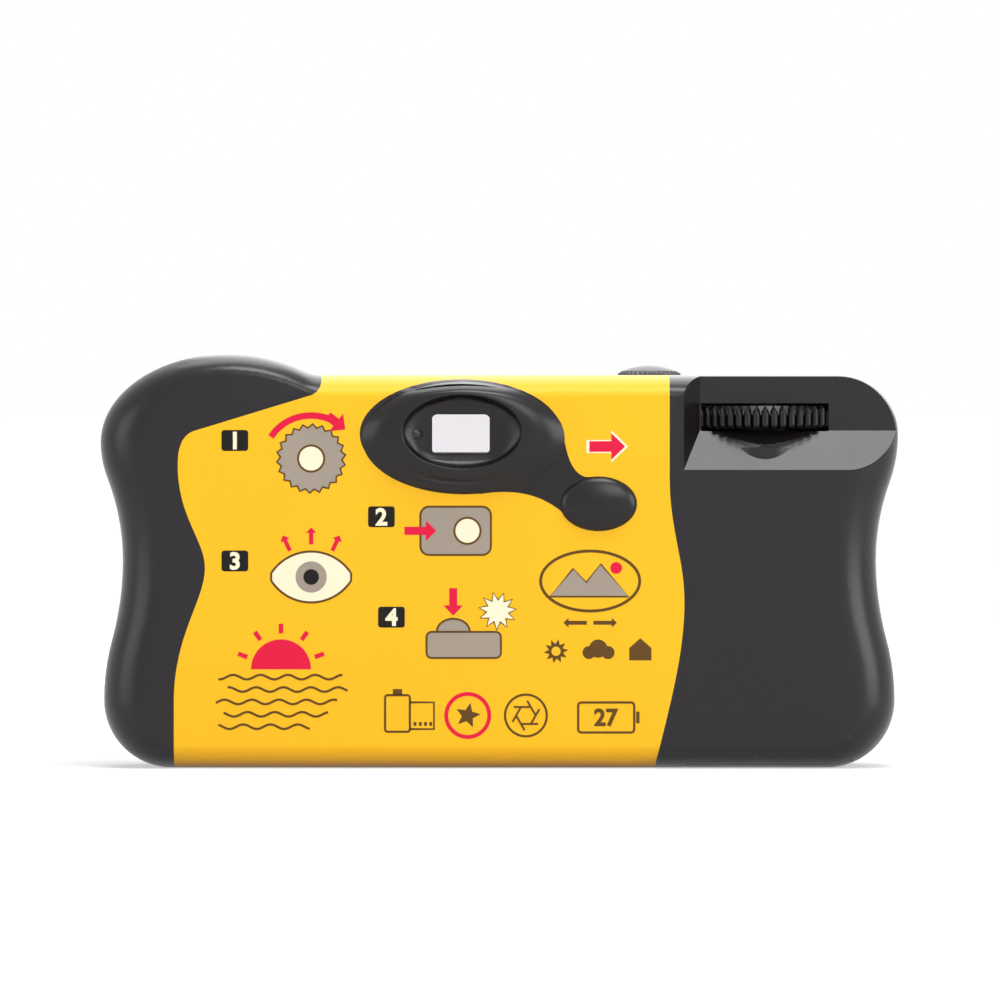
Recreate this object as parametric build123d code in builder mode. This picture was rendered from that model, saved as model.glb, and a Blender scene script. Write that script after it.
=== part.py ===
from build123d import *
from math import cos, radians, sin, sqrt
import os

os.makedirs("parts", exist_ok=True)

# Disposable film camera. Millimetres. +X is right seen from the rear, +Y is the way the lens looks,
# +Z is up. The origin lies on the base, under the line where the two covers meet.

# Body outline, seen from the rear: two lobes a side, a waist, and a bulge over the flash
UPPER_HALF = 61.3
LOWER_IN = 0.5
WAIST_IN = 3.4
LOWER_HALF = UPPER_HALF - LOWER_IN
WAIST_HALF = UPPER_HALF - WAIST_IN
WAIST_Z = 31.8
TOP_Z = 60.3
FLASH_LOBE_Z = 50.0
TOP_CORNER_R = 9.2
BOTTOM_CORNER_R = 10.4
UPPER_WAIST_R = 35.0
LOWER_WAIST_R = 45.0
BULGE_X = -41.5
BULGE_Z = 63.6
BULGE_R = 26.7
BULGE_BLEND_R = 8.0

# Body depth, walls and the rounding of its edges
REAR_Y = -16.0
FRONT_Y = 15.0
WALL = 1.5
ROUND_DEPTH = 7.0
SIDE_ROUND = 7.0
TOP_ROUND = 3.3
BOTTOM_ROUND = 3.6
ROUND_STEPS = 5
QUARTER = 90

# Clearances and the overrun of cuts
OVER = 2.0
GAP = 0.15
RUN_FIT = 0.08
LOOSE = 0.3

# Film, cassette and their axes
FILM_Z = 25.0
FILM_WIDTH = 35.0
FILM_T = 0.14
FILM_Y = -10.6
PERF_PITCH = 4.75
PERF_X = 1.98
PERF_Z = 2.8
PERF_ROW = 14.1
CASSETTE_X = 40.8
CASSETTE_Y = -1.2
CASSETTE_R = 12.5
CASSETTE_HALF = 21.2
SUPPLY_X = -41.0
ROLL_R = 8.6
SUPPLY_Y = FILM_Y + ROLL_R
GATE_HALF_X = 18.0
GATE_HALF_Z = 12.0

# Optical axes
LENS_X = -6.0
LENS_Z = FILM_Z
FINDER_X = -5.9
FINDER_Z = 51.3

# Heights of the mechanism
CASSETTE_TOP = FILM_Z + CASSETTE_HALF
CASSETTE_BASE = FILM_Z - CASSETTE_HALF
DECK_Z = CASSETTE_TOP + LOOSE
DECK_T = 1.0
DECK_TOP = DECK_Z + DECK_T
REAR_IN = REAR_Y + WALL
FRONT_IN = FRONT_Y - WALL
TOP_IN = TOP_Z - WALL


def waist_join(half, z, waist_half, waist_r):
    """Point where a lobe's arc meets the arc of the waist, for arcs that leave both upright."""
    dx = half - waist_half
    dz = z - WAIST_Z
    share = waist_r * 2 * dx / (dx**2 + dz**2)
    return waist_half + dx * share, WAIST_Z + dz * share


def outline(side, top, bottom):
    """Closed outline of the body, drawn in by the three insets."""
    up = UPPER_HALF - side
    low = LOWER_HALF - side
    waist = WAIST_HALF - side
    roof = TOP_Z - top
    right_z = TOP_Z - TOP_CORNER_R
    low_z = BOTTOM_CORNER_R
    corner_x = LOWER_HALF - BOTTOM_CORNER_R
    upper_x = UPPER_HALF - TOP_CORNER_R
    joins = {
        "right": waist_join(up, right_z, waist, UPPER_WAIST_R),
        "left": waist_join(up, FLASH_LOBE_Z, waist, UPPER_WAIST_R),
        "low": waist_join(low, low_z, waist, LOWER_WAIST_R),
    }
    rise = TOP_Z + BULGE_BLEND_R - (BULGE_Z - BULGE_R)
    reach = sqrt((BULGE_R + BULGE_BLEND_R) ** 2 - rise**2)
    bulge_z = BULGE_Z - BULGE_R - top
    blend_share = BULGE_R / (BULGE_R + BULGE_BLEND_R)
    blend_x = BULGE_X + reach
    blend = (BULGE_X + reach * blend_share, bulge_z + rise * blend_share)
    right_low, left_low = (joins["low"][0], joins["low"][1]), (-joins["low"][0], joins["low"][1])
    with BuildLine() as line:
        Line((-corner_x, bottom), (corner_x, bottom))
        EllipticalCenterArc(
            (corner_x, low_z), low_z - side, low_z - bottom, start_angle=3 * QUARTER, arc_size=QUARTER
        )
        TangentArc((low, low_z), right_low, tangent=(0, 1))
        TangentArc((waist, WAIST_Z), right_low, tangent=(0, -1))
        TangentArc((waist, WAIST_Z), joins["right"], tangent=(0, 1))
        TangentArc((up, right_z), joins["right"], tangent=(0, -1))
        EllipticalCenterArc(
            (upper_x, right_z), TOP_CORNER_R - side, TOP_CORNER_R - top, start_angle=0, arc_size=QUARTER
        )
        Line((upper_x, roof), (blend_x, roof))
        TangentArc((blend_x, roof), blend, tangent=(-1, 0))
        TangentArc((BULGE_X, BULGE_Z - top), blend, tangent=(1, 0))
        EllipticalCenterArc(
            (BULGE_X, FLASH_LOBE_Z),
            BULGE_X + up,
            BULGE_Z - FLASH_LOBE_Z - top,
            start_angle=QUARTER,
            arc_size=QUARTER,
        )
        TangentArc((-up, FLASH_LOBE_Z), (-joins["left"][0], joins["left"][1]), tangent=(0, -1))
        TangentArc((-waist, WAIST_Z), (-joins["left"][0], joins["left"][1]), tangent=(0, 1))
        TangentArc((-waist, WAIST_Z), left_low, tangent=(0, -1))
        TangentArc((-low, low_z), left_low, tangent=(0, 1))
        EllipticalCenterArc(
            (-corner_x, low_z), low_z - side, low_z - bottom, start_angle=2 * QUARTER, arc_size=QUARTER
        )
    return line.line


def body_form(face_y, inset):
    """Half of the body from the parting plane to its face, drawn in by the inset, with rounded edges."""
    way = 1 if face_y < 0 else -1
    straight = -face_y - way * ROUND_DEPTH
    end = -face_y - way * inset
    with BuildPart() as form:
        with BuildSketch(Plane.XZ):
            with BuildLine():
                add(outline(inset, inset, inset))
            make_face()
        extrude(amount=straight)
        for step in range(ROUND_STEPS + 1):
            angle = radians(QUARTER * step / ROUND_STEPS)
            share = 1 - cos(angle)
            with BuildSketch(Plane.XZ.offset(straight + (end - straight) * sin(angle))):
                with BuildLine():
                    add(
                        outline(
                            inset + (SIDE_ROUND - inset) * share,
                            inset + (TOP_ROUND - inset) * share,
                            inset + (BOTTOM_ROUND - inset) * share,
                        )
                    )
                make_face()
        loft()
    return form.part


def block(x_span, y_span, z_span, mode=Mode.ADD):
    """Box between its limits along each axis."""
    spans = (x_span, y_span, z_span)
    with Locations(tuple((low + high) / 2 for low, high in spans)):
        Box(*(abs(high - low) for low, high in spans), mode=mode)


def post(x, y, z_span, radius, mode=Mode.ADD):
    """Upright cylinder between two heights."""
    with Locations((x, y, (z_span[0] + z_span[1]) / 2)):
        Cylinder(radius, abs(z_span[1] - z_span[0]), mode=mode)


def rod(x, z, y_span, radius, mode=Mode.ADD):
    """Cylinder that runs from the rear to the front."""
    with Locations((x, (y_span[0] + y_span[1]) / 2, z)):
        Cylinder(radius, abs(y_span[1] - y_span[0]), rotation=(QUARTER, 0, 0), mode=mode)


def bar(y, z, x_span, radius, mode=Mode.ADD):
    """Cylinder that runs from left to right."""
    with Locations(((x_span[0] + x_span[1]) / 2, y, z)):
        Cylinder(radius, abs(x_span[1] - x_span[0]), rotation=(0, QUARTER, 0), mode=mode)


# Thumb recess in the rear cover: a back wall, a leaning left wall and a sloping ledge
RECESS_X = 28.3
RECESS_LEAN = 2.5
RECESS_BACK_Y = -11.2
LEDGE_LOW_Z = 45.8
LEDGE_HIGH_Z = 51.8
RECESS_WALL = 1.3
FAR_SIDE = UPPER_HALF + OVER
FAR_TOP = BULGE_Z + OVER


def recess_bite(grow):
    """Space of the thumb recess, grown on its walls."""
    depth = RECESS_BACK_Y - REAR_Y
    lean = RECESS_LEAN / depth
    slope = (LEDGE_HIGH_Z - LEDGE_LOW_Z) / depth
    with BuildPart() as bite:
        for y in (REAR_Y - OVER, RECESS_BACK_Y + grow):
            left = RECESS_X + lean * (y - REAR_Y) - grow * sqrt(1 + lean**2)
            floor = LEDGE_LOW_Z + slope * (y - REAR_Y) - grow * sqrt(1 + slope**2)
            with BuildSketch(Plane.XZ.offset(-y)):
                with Locations(((left + FAR_SIDE) / 2, (floor + FAR_TOP) / 2)):
                    Rectangle(FAR_SIDE - left, FAR_TOP - floor)
        loft(ruled=True)
    return bite.part


# Eyepiece: mound, dish and window; and the round bump beside it
MOUND_HALF_X = 14.8
MOUND_HALF_Z = 7.7
MOUND_OUT = 2.0
MOUND_EDGE = 1.3
DISH_HALF_X = 8.8
DISH_HALF_Z = 5.7
WINDOW_X = 8.8
WINDOW_Z = 6.0
WINDOW_R = 0.8
WINDOW_SET = 0.1
BUMP_X = 15.2
BUMP_Z = 40.6
BUMP_HALF_X = 5.9
BUMP_HALF_Z = 4.2
BUMP_OUT = 1.4
BUMP_EDGE = 2.2
PATCH_BORDER = 0.7
EYE_ARC_START = -8
EYE_ARC = 300
BUMP_ARC_START = 200
BUMP_ARC = 260


def mound_form(x, z, half_x, half_z, out, edge):
    """Oval mound on the rear face: an upright foot that rounds over to a crown."""
    with BuildPart() as mound:
        for share in (-1, 0, 1 / 3, 2 / 3, 1):
            turn = radians(QUARTER * max(share, 0))
            inset = edge * (1 - cos(turn))
            y = REAR_Y + WALL / 2 if share < 0 else REAR_Y - out * sin(turn)
            with BuildSketch(Plane.XZ.offset(-y)):
                with Locations((x, z)):
                    Ellipse(half_x - inset, half_z - inset)
        loft()
    return mound.part


# Thumbwheel
WHEEL_R = 13.6
WHEEL_TEETH = 60
WHEEL_TOOTH = 0.75
WHEEL_Z = 52.1
WHEEL_T = 3.5
WHEEL_EDGE = 0.7
SLOT_GAP = 0.4
WHEEL_TOP = WHEEL_Z + WHEEL_T

# Round pad on the ledge, under the wheel
PAD_R = 6.0
PAD_FRONT_Y = -14.7
PAD_TOP_Z = 49.2
PAD_NOTCH_R = 8.8
PAD_NOTCH_IN = 1.7
PAD_NOTCH_H = 1.6

# Ready light beside the eyepiece window
READY_X = -13.0
READY_R = 1.1

# Ribs of the rear cover that press the film flat
PRESS_RIB_T = 1.2
PRESS_RIB_Y = FILM_Y - FILM_T / 2 - LOOSE
PRESS_RIB_ZS = (FILM_Z - PERF_ROW, FILM_Z, FILM_Z + PERF_ROW)
PRESS_RIB_HALF = 20.0

# Label, a thin sleeve set flush into both covers
LABEL_T = 0.3
LABEL_TOP_LEFT = -27.3
LABEL_TOP_RIGHT = 26.1
LABEL_SHOULDER = (-29.0, 57.2)
LABEL_SHOULDER_TOP = 59.5
LABEL_SLOPE_END = (-46.7, 51.8)
LABEL_LOBE = (-49.3, 46.5)
LABEL_WAIST_LEFT = (-45.2, WAIST_Z)
LABEL_LOW_LEFT = (-49.9, 10.4)
LABEL_RIGHT_BEND = 44.5
LABEL_WAIST_RIGHT = (28.2, 28.8)
LABEL_LOW_RIGHT = (24.0, 1.0)
LABEL_RIGHT_LEAN = 0.25

# Front outline of the label
FRONT_GRIP_TOP = (38.5, 50.0)
FRONT_GRIP_WAIST = (35.0, WAIST_Z)
FRONT_GRIP_LOW = (38.5, 11.0)
FRONT_LABEL_CORNER = 4.0

# Lens and viewfinder bezel on the front cover
BEZEL_R = 18.0
BEZEL_TOP_Z = 56.8
BEZEL_NECK = 25.0
BEZEL_NECK_R = 4.5
BEZEL_BLEND_R = 7.0
BEZEL_LOW = 2.2
BEZEL_HIGH = 5.5
BEZEL_CONE_R = 16.2
BEZEL_FACE_R = 13.2
BEZEL_FUNNEL_R = 10.8
BEZEL_FUNNEL_DEPTH = 3.4
BEZEL_EDGE = 0.8
LENS_R = 4.2
LENS_LIP = 0.8
FINDER_FRONT_X = 11.0
FINDER_FRONT_Z = 7.4
FINDER_LEDGE = 0.6
HOLDER_R = 6.6

# Ridge of the grip, from its two ends by its inner and outer edge
GRIP_END_X = 45.5
GRIP_MID_X = 43.0
GRIP_HIGH_Z = 51.0
GRIP_LOW_Z = 10.5
GRIP_HALF = 2.0
GRIP_OUT = 1.2
GRIP_TAPER = 1.2

# Bezel, lens and aperture
BEZEL_BACK = 1.2
BEZEL_BACK_R = 14.5
BEZEL_TUBE = 2.4
BEZEL_LIP_STEP = 0.6
LENS_SEAT = 1.7
LENS_T = 1.5
LENS_HOLLOW = 0.9
LENS_BACK_R = 9.0
LENS_FRONT_R = 11.0
APERTURE_Y = 12.2
APERTURE_T = 0.8
APERTURE_R = 1.3

# Viewfinder and ready light
FINDER_LENS_T = 1.6
FINDER_HOLLOW = 0.9
FINDER_LENS_R = 20.0
WINDOW_FLANGE = 0.7
FINDER_BOX_REAR = 5.2
FINDER_BOX_FRONT = 5.6
FINDER_BOX_HALF_Z = 3.8
FINDER_BOX_T = 0.8
READY_OUT = 0.2
READY_PIPE_END = -8.5
READY_LAMP = 6.5
READY_LAMP_R = 1.6
READY_LAMP_SHIFT = 0.2

# Flash
FLASH_X = -43.0
FLASH_Z = 50.6
FLASH_HALF_X = 9.6
FLASH_HALF_Z = 5.4
FLASH_CORNER = 2.2
FLASH_RIM = 2.6
FLASH_RIM_OUT = 0.8
RIM_TAPER = 20

# Push-to-charge button
CHARGE_X = -38.0
CHARGE_Z = 22.0
CHARGE_R = 5.7
CHARGE_RIM = 1.8
CHARGE_RIM_OUT = 0.6

# Flash reflector, tube, capacitor and window
FLASH_WINDOW_OUT = 0.5
FLASH_WINDOW_T = 1.4
REFLECTOR_DEPTH = 6.6
REFLECTOR_T = 0.5
FLASH_TUBE_R = 1.3
FLASH_TUBE_OVER = 1.6
FLASH_TUBE_SET = 2.6
CAPACITOR_R = 5.7
CAPACITOR_X = (-52.5, -28.5)
CAPACITOR_Y = -7.6
CAPACITOR_NECK = 2.4
CAPACITOR_GROOVE = 0.5
CAPACITOR_UP = 3.8
CAPACITOR_EDGE = 0.6
CAPACITOR_Z = DECK_TOP + CAPACITOR_UP

# Circuit board and what is on it
BOARD_Y = 9.9
BOARD_T = 1.0
BOARD_LEFT = -53.5
BOARD_STEP_X = -31.0
BOARD_RIGHT = -19.5
BOARD_LOW = 4.6
BOARD_STEP_Z = 18.0
BOARD_HIGH = 43.6
TRANSFORMER_X = (-30.0, -21.0)
TRANSFORMER_DEPTH = 6.0
TRANSFORMER_Z = (30.0, 38.5)
TRANSFORMER_CORE = 1.4
COIL_X = -25.0
COIL_R = 2.5
COIL_Z = (19.5, 27.5)
TRANSISTOR_X = (-52.8, -49.2)
TRANSISTOR_Z = (33.0, 37.0)
TRANSISTOR_DEPTH = 3.0
CHARGE_CONTACT_R = 3.0
CHARGE_CONTACT_T = 0.2
SYNC_X = -12.0
SYNC_Z = (38.0, 45.0)
SYNC_W = 2.4
SYNC_T = 0.3

# Charge button
CHARGE_OUT = 1.3
CHARGE_FLANGE = 0.9
CHARGE_FLANGE_T = 0.8
CHARGE_DOME = 0.6

# Size AA cell and its contacts
CELL_R = 7.25
CELL_LENGTH = 49.2
CELL_NUB = 1.3
CELL_NUB_R = 2.75
CELL_X = -3.6
CELL_Y = 5.4
CELL_Z = WALL + GAP + CELL_R
CELL_EDGE = 0.5
CONTACT_T = 0.4
CONTACT_HALF = 4.0
CONTACT_SPRING_R = 3.2
CONTACT_SPRING = 0.9
CRADLE_T = 1.2

# Shutter button and counter window on the top
BUTTON_X = 23.2
BUTTON_Y = 5.4
BUTTON_R = 4.9
BUTTON_DOME = 1.5
BUTTON_TRAVEL = 1.0
BUTTON_RIM = 1.2
BUTTON_DROP = 0.3
BUTTON_CROWN_R = 9.5
BUTTON_FLANGE = 0.4
BUTTON_FLANGE_T = 0.7
STEM_R = 1.7
COUNTER_X = 8.6
COUNTER_Y = 4.0
COUNTER_R = 7.2
COUNTER_TEETH = 30
COUNTER_WINDOW_X = 13.0
COUNTER_WINDOW_HALF = 2.4
COUNTER_WINDOW_R = 0.9
COUNTER_BORDER = 0.8

# Cassette door in the base
DOOR_LEFT = 28.6
DOOR_RIGHT = 54.2
DOOR_REAR = -12.6
DOOR_FRONT = 10.4
DOOR_HEIGHT = 2.6
DOOR_RING_R = 8.0
DOOR_RING_T = 1.2


# Frame: film plate, two chambers, deck, feet and cell cradle
PLATE_T = 1.4
PLATE_REAR = FILM_Y + FILM_T / 2 + LOOSE
PLATE_FRONT = PLATE_REAR + PLATE_T
PLATE_LEFT = -33.5
PLATE_RIGHT = 29.5
CHAMBER_T = 1.2
CHAMBER_GAP = 0.4
FLANGE_R = 9.2
FLANGE_T = 1.0
SUPPLY_R = FLANGE_R + CHAMBER_GAP
TAKE_UP_R = CASSETTE_R + CHAMBER_GAP
DECK_LEFT = CAPACITOR_X[1] + LOOSE
DECK_RIGHT = 53.5
DECK_REAR = -12.0
DECK_REAR_RIGHT = 27.0
FOOT_W = 4.0
FOOT_D = 1.5
FOOT_XS = (-26.0, 24.5)
CRADLE_HIGH = 14.0
CRADLE_FRONT = 11.0
LIP_GAP = 0.3
LIP_LEFT = 27.4
LIP_T = 0.8

# Sprocket and the cam on its shaft
SPROCKET_R = 6.05
SPROCKET_X = 20.5
SPROCKET_Y = FILM_Y + SPROCKET_R
SPROCKET_TEETH = 8
DRUM_R = 5.3
DRUM_T = 3.6
TOOTH_OUT = 0.8
TOOTH_R = 0.8
TOOTH_TIP_R = 0.35
SHAFT_R = 1.9
STUB_R = 1.2
SHELF_Z = 32.2
SHELF_T = 1.4
SHELF_HALF = 3.0
CAM_R = 4.6
CAM_UP = 2.4
CAM_Z = DECK_TOP + CAM_UP
CAM_T = 4.0
CAM_NOTCH_R = 1.2

# Levers
METER_X = 14.0
METER_Y = -9.6
METER_UP = 4.7
METER_Z = DECK_TOP + METER_UP
METER_T = 1.6
METER_NOSE = (16.75, -7.5)
METER_BEND = (22.0, -11.4)
METER_TIP = (26.4, -9.5)
METER_W = 1.8
KICK_X = 8.0
KICK_Y = 0.5
KICK_UP = 0.5
KICK_Z = DECK_TOP + KICK_UP
KICK_T = 1.4
KICK_TIP = (9.8, 11.6)
KICK_CATCH = (19.6, 4.7)
KICK_W = 2.0
PIVOT_R = 1.0
HUB_R = 2.1
SHOULDER_R = 1.8
SPRING_ROOM = 1.6

# Mechanism plate and frame counter above it
MECH_UP = 6.8
MECH_Z = DECK_TOP + MECH_UP
MECH_T = 1.0
MECH_X = (1.0, 26.2)
MECH_Y = (-14.3, 12.6)
MECH_POST_R = 1.2
MECH_POSTS = ((2.6, -12.0), (24.6, -13.0), (2.4, 8.8), (24.6, 11.2))
COUNTER_UP = 0.5
COUNTER_Z = MECH_Z + MECH_T + COUNTER_UP
COUNTER_T = 0.8
COUNTER_TOOTH = 0.5
FINGER_GAP = 0.2
FINGER_W = 1.4
COUNTER_WINDOW_T = 1.2

# Shutter
TUNNEL_T = 1.0
TUNNEL_FRONT = 10.0
TUNNEL_FRONT_HALF = 4.4
TUNNEL_HOLE_R = 3.0
SHUTTER_LEFT = -16.0
SHUTTER_RIGHT = 12.5
SHUTTER_LOW = 17.2
SHUTTER_RIB = 1.3
BLADE_X = 7.5
BLADE_Z = 32.0
BLADE_R = 3.4
BLADE_T = 0.4
BLADE_ARM = 3.0
BLADE_TAB = 1.8
BLADE_TAB_UP = 1.2
BLADE_TAB_Z = DECK_TOP + BLADE_TAB_UP
BLADE_SLOT_LEFT = -0.2
BLADE_SLOT_RIGHT = 9.4

# Thumbwheel hub and the spool in the cassette
HUB_WHEEL_R = 6.3
COLLAR_T = 1.3
WHEEL_BOSS_R = 4.0
KNOB_R = 3.9
KNOB_OUT = 4.4
KNOB_SLOT = 1.8
KEY_T = 1.4
KEY_DEPTH = 2.0
SPOOL_R = 5.4
SHELL_T = 0.4
CAP_T = 0.8
CASSETTE_FILM_R = 8.2
CORE_R = 4.6
PIN_R = 1.6

# Anti-reverse pawl beside the thumbwheel
PAWL_POST = (50.5, 11.0)
PAWL_BEND = (53.9, 8.4)
PAWL_TIP = (53.7, 4.8)
PAWL_T = 0.8
PAWL_IN = 0.5
PAWL_Z = (WHEEL_Z + PAWL_IN, WHEEL_TOP - PAWL_IN)

# The forms that both covers and the label are cut from
rear_outer = body_form(REAR_Y, 0)
rear_skin = body_form(REAR_Y, LABEL_T)
rear_inner = body_form(REAR_Y, WALL)
front_outer = body_form(FRONT_Y, 0)
front_skin = body_form(FRONT_Y, LABEL_T)
front_inner = body_form(FRONT_Y, WALL)

# Places left free in the rear label: the oval round the eyepiece, joined to the oval round the bump
with BuildSketch() as rear_patch:
    with BuildLine():
        round_eye = EllipticalCenterArc(
            (FINDER_X, FINDER_Z),
            MOUND_HALF_X + PATCH_BORDER,
            MOUND_HALF_Z + PATCH_BORDER,
            start_angle=EYE_ARC_START,
            arc_size=EYE_ARC,
        )
        round_bump = EllipticalCenterArc(
            (BUMP_X, BUMP_Z), BUMP_HALF_X, BUMP_HALF_Z, start_angle=BUMP_ARC_START, arc_size=BUMP_ARC
        )
        Spline(round_eye @ 1, round_bump @ 0, tangents=(round_eye % 1, round_bump % 0))
        Spline(round_bump @ 1, round_eye @ 0, tangents=(round_bump % 1, round_eye % 0))
    make_face()

# Outline of the bezel: a round lens field with a neck up to the viewfinder
with BuildSketch() as bezel_outline:
    with Locations((LENS_X, LENS_Z)):
        Circle(BEZEL_R)
    with Locations((LENS_X, (LENS_Z + BEZEL_TOP_Z) / 2)):
        RectangleRounded(BEZEL_NECK, BEZEL_TOP_Z - LENS_Z, BEZEL_NECK_R)
    offset(amount=BEZEL_BLEND_R)
    offset(amount=-BEZEL_BLEND_R)


# Label, rear half
with BuildPart() as rear_label:
    with BuildSketch(Plane.XZ):
        with BuildLine():
            low_right = (LABEL_LOW_RIGHT[0], -OVER)
            low_left = (LABEL_LOW_LEFT[0], -OVER)
            Polyline(LABEL_LOW_LEFT, low_left, low_right, LABEL_LOW_RIGHT)
            Spline(
                LABEL_LOW_RIGHT,
                LABEL_WAIST_RIGHT,
                (LABEL_TOP_RIGHT, LABEL_RIGHT_BEND),
                tangents=((LABEL_RIGHT_LEAN, 1), (0, 1)),
            )
            Polyline(
                (LABEL_TOP_RIGHT, LABEL_RIGHT_BEND),
                (LABEL_TOP_RIGHT, FAR_TOP),
                (LABEL_TOP_LEFT, FAR_TOP),
                (LABEL_TOP_LEFT, LABEL_SHOULDER_TOP),
            )
            TangentArc((LABEL_TOP_LEFT, LABEL_SHOULDER_TOP), LABEL_SHOULDER, tangent=(0, -1))
            Line(LABEL_SHOULDER, LABEL_SLOPE_END)
            slope_way = (LABEL_SLOPE_END[0] - LABEL_SHOULDER[0], LABEL_SLOPE_END[1] - LABEL_SHOULDER[1])
            Spline(LABEL_SLOPE_END, LABEL_LOBE, tangents=(slope_way, (0, -1)))
            Spline(LABEL_LOBE, LABEL_WAIST_LEFT, LABEL_LOW_LEFT, tangents=((0, -1), (0, -1)))
        make_face()
    extrude(amount=-REAR_Y + OVER)
    add(rear_outer, mode=Mode.INTERSECT)
    add(rear_skin, mode=Mode.SUBTRACT)
    with BuildSketch(Plane.XZ):
        add(rear_patch.sketch)
    extrude(amount=-REAR_Y + OVER, mode=Mode.SUBTRACT)


# Label, front half: it leaves the flash housing and the grip bare
FRONT_LABEL_LOW = 4.8
FRONT_LABEL_HIGH = 55.2
FRONT_FLASH_EDGE_X = -29.0
FRONT_FLASH_EDGE_Z = 39.6
FRONT_LABEL_WAIST = (-46.5, 27.8)
FRONT_LABEL_LEFT = (-49.0, 35.0)
with BuildPart() as front_label:
    with BuildSketch(Plane.XZ):
        with BuildLine():
            Polyline(
                LABEL_LOW_LEFT,
                (LABEL_LOW_LEFT[0], -OVER),
                (LABEL_LOW_RIGHT[0], -OVER),
                (LABEL_LOW_RIGHT[0], FRONT_LABEL_LOW),
            )
            FilletPolyline(
                (LABEL_LOW_RIGHT[0], FRONT_LABEL_LOW),
                (FRONT_GRIP_LOW[0], FRONT_LABEL_LOW),
                FRONT_GRIP_LOW,
                radius=FRONT_LABEL_CORNER,
            )
            Spline(FRONT_GRIP_LOW, FRONT_GRIP_WAIST, FRONT_GRIP_TOP, tangents=((0, 1), (0, 1)))
            FilletPolyline(
                FRONT_GRIP_TOP,
                (FRONT_GRIP_TOP[0], FRONT_LABEL_HIGH),
                (LABEL_TOP_RIGHT, FRONT_LABEL_HIGH),
                radius=FRONT_LABEL_CORNER,
            )
            Polyline(
                (LABEL_TOP_RIGHT, FRONT_LABEL_HIGH),
                (LABEL_TOP_RIGHT, FAR_TOP),
                (LABEL_TOP_LEFT, FAR_TOP),
                (LABEL_TOP_LEFT, LABEL_SHOULDER_TOP),
            )
            FilletPolyline(
                (LABEL_TOP_LEFT, LABEL_SHOULDER_TOP),
                (FRONT_FLASH_EDGE_X, FRONT_FLASH_EDGE_Z),
                (FRONT_LABEL_LEFT[0], FRONT_FLASH_EDGE_Z),
                FRONT_LABEL_LEFT,
                radius=FRONT_LABEL_CORNER,
            )
            Spline(FRONT_LABEL_LEFT, FRONT_LABEL_WAIST, LABEL_LOW_LEFT, tangents=((0, -1), (0, -1)))
        make_face()
    extrude(amount=-FRONT_Y - OVER)
    add(front_outer, mode=Mode.INTERSECT)
    add(front_skin, mode=Mode.SUBTRACT)
    with BuildSketch(Plane.XZ):
        add(bezel_outline.sketch)
        offset(amount=GAP)
        with Locations((CHARGE_X, CHARGE_Z)):
            Circle(CHARGE_R + CHARGE_RIM)
    extrude(amount=-FRONT_Y - OVER, mode=Mode.SUBTRACT)
    post(BUTTON_X, BUTTON_Y, (TOP_Z - OVER, TOP_Z + OVER), BUTTON_R + BUTTON_RIM, mode=Mode.SUBTRACT)
    with BuildSketch(Plane.XY.offset(TOP_Z - OVER)):
        with Locations((COUNTER_WINDOW_X, COUNTER_Y)):
            RectangleRounded(
                2 * (COUNTER_WINDOW_HALF + COUNTER_BORDER),
                2 * (COUNTER_WINDOW_HALF + COUNTER_BORDER),
                COUNTER_WINDOW_R,
            )
    extrude(amount=2 * OVER, mode=Mode.SUBTRACT)

with BuildPart() as label_wrap:
    add(rear_label.part)
    add(front_label.part)
label_wrap.part.label = "label_wrap"
export_step(label_wrap.part, "parts/label_wrap.step")

# Space inside the covers, and the door's share of the base
with BuildPart() as rear_cavity:
    add(rear_inner)
    add(recess_bite(RECESS_WALL), mode=Mode.SUBTRACT)
with BuildPart() as door_hole:
    block((DOOR_LEFT, DOOR_RIGHT), (DOOR_REAR, DOOR_FRONT), (-OVER, DOOR_HEIGHT))

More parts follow.
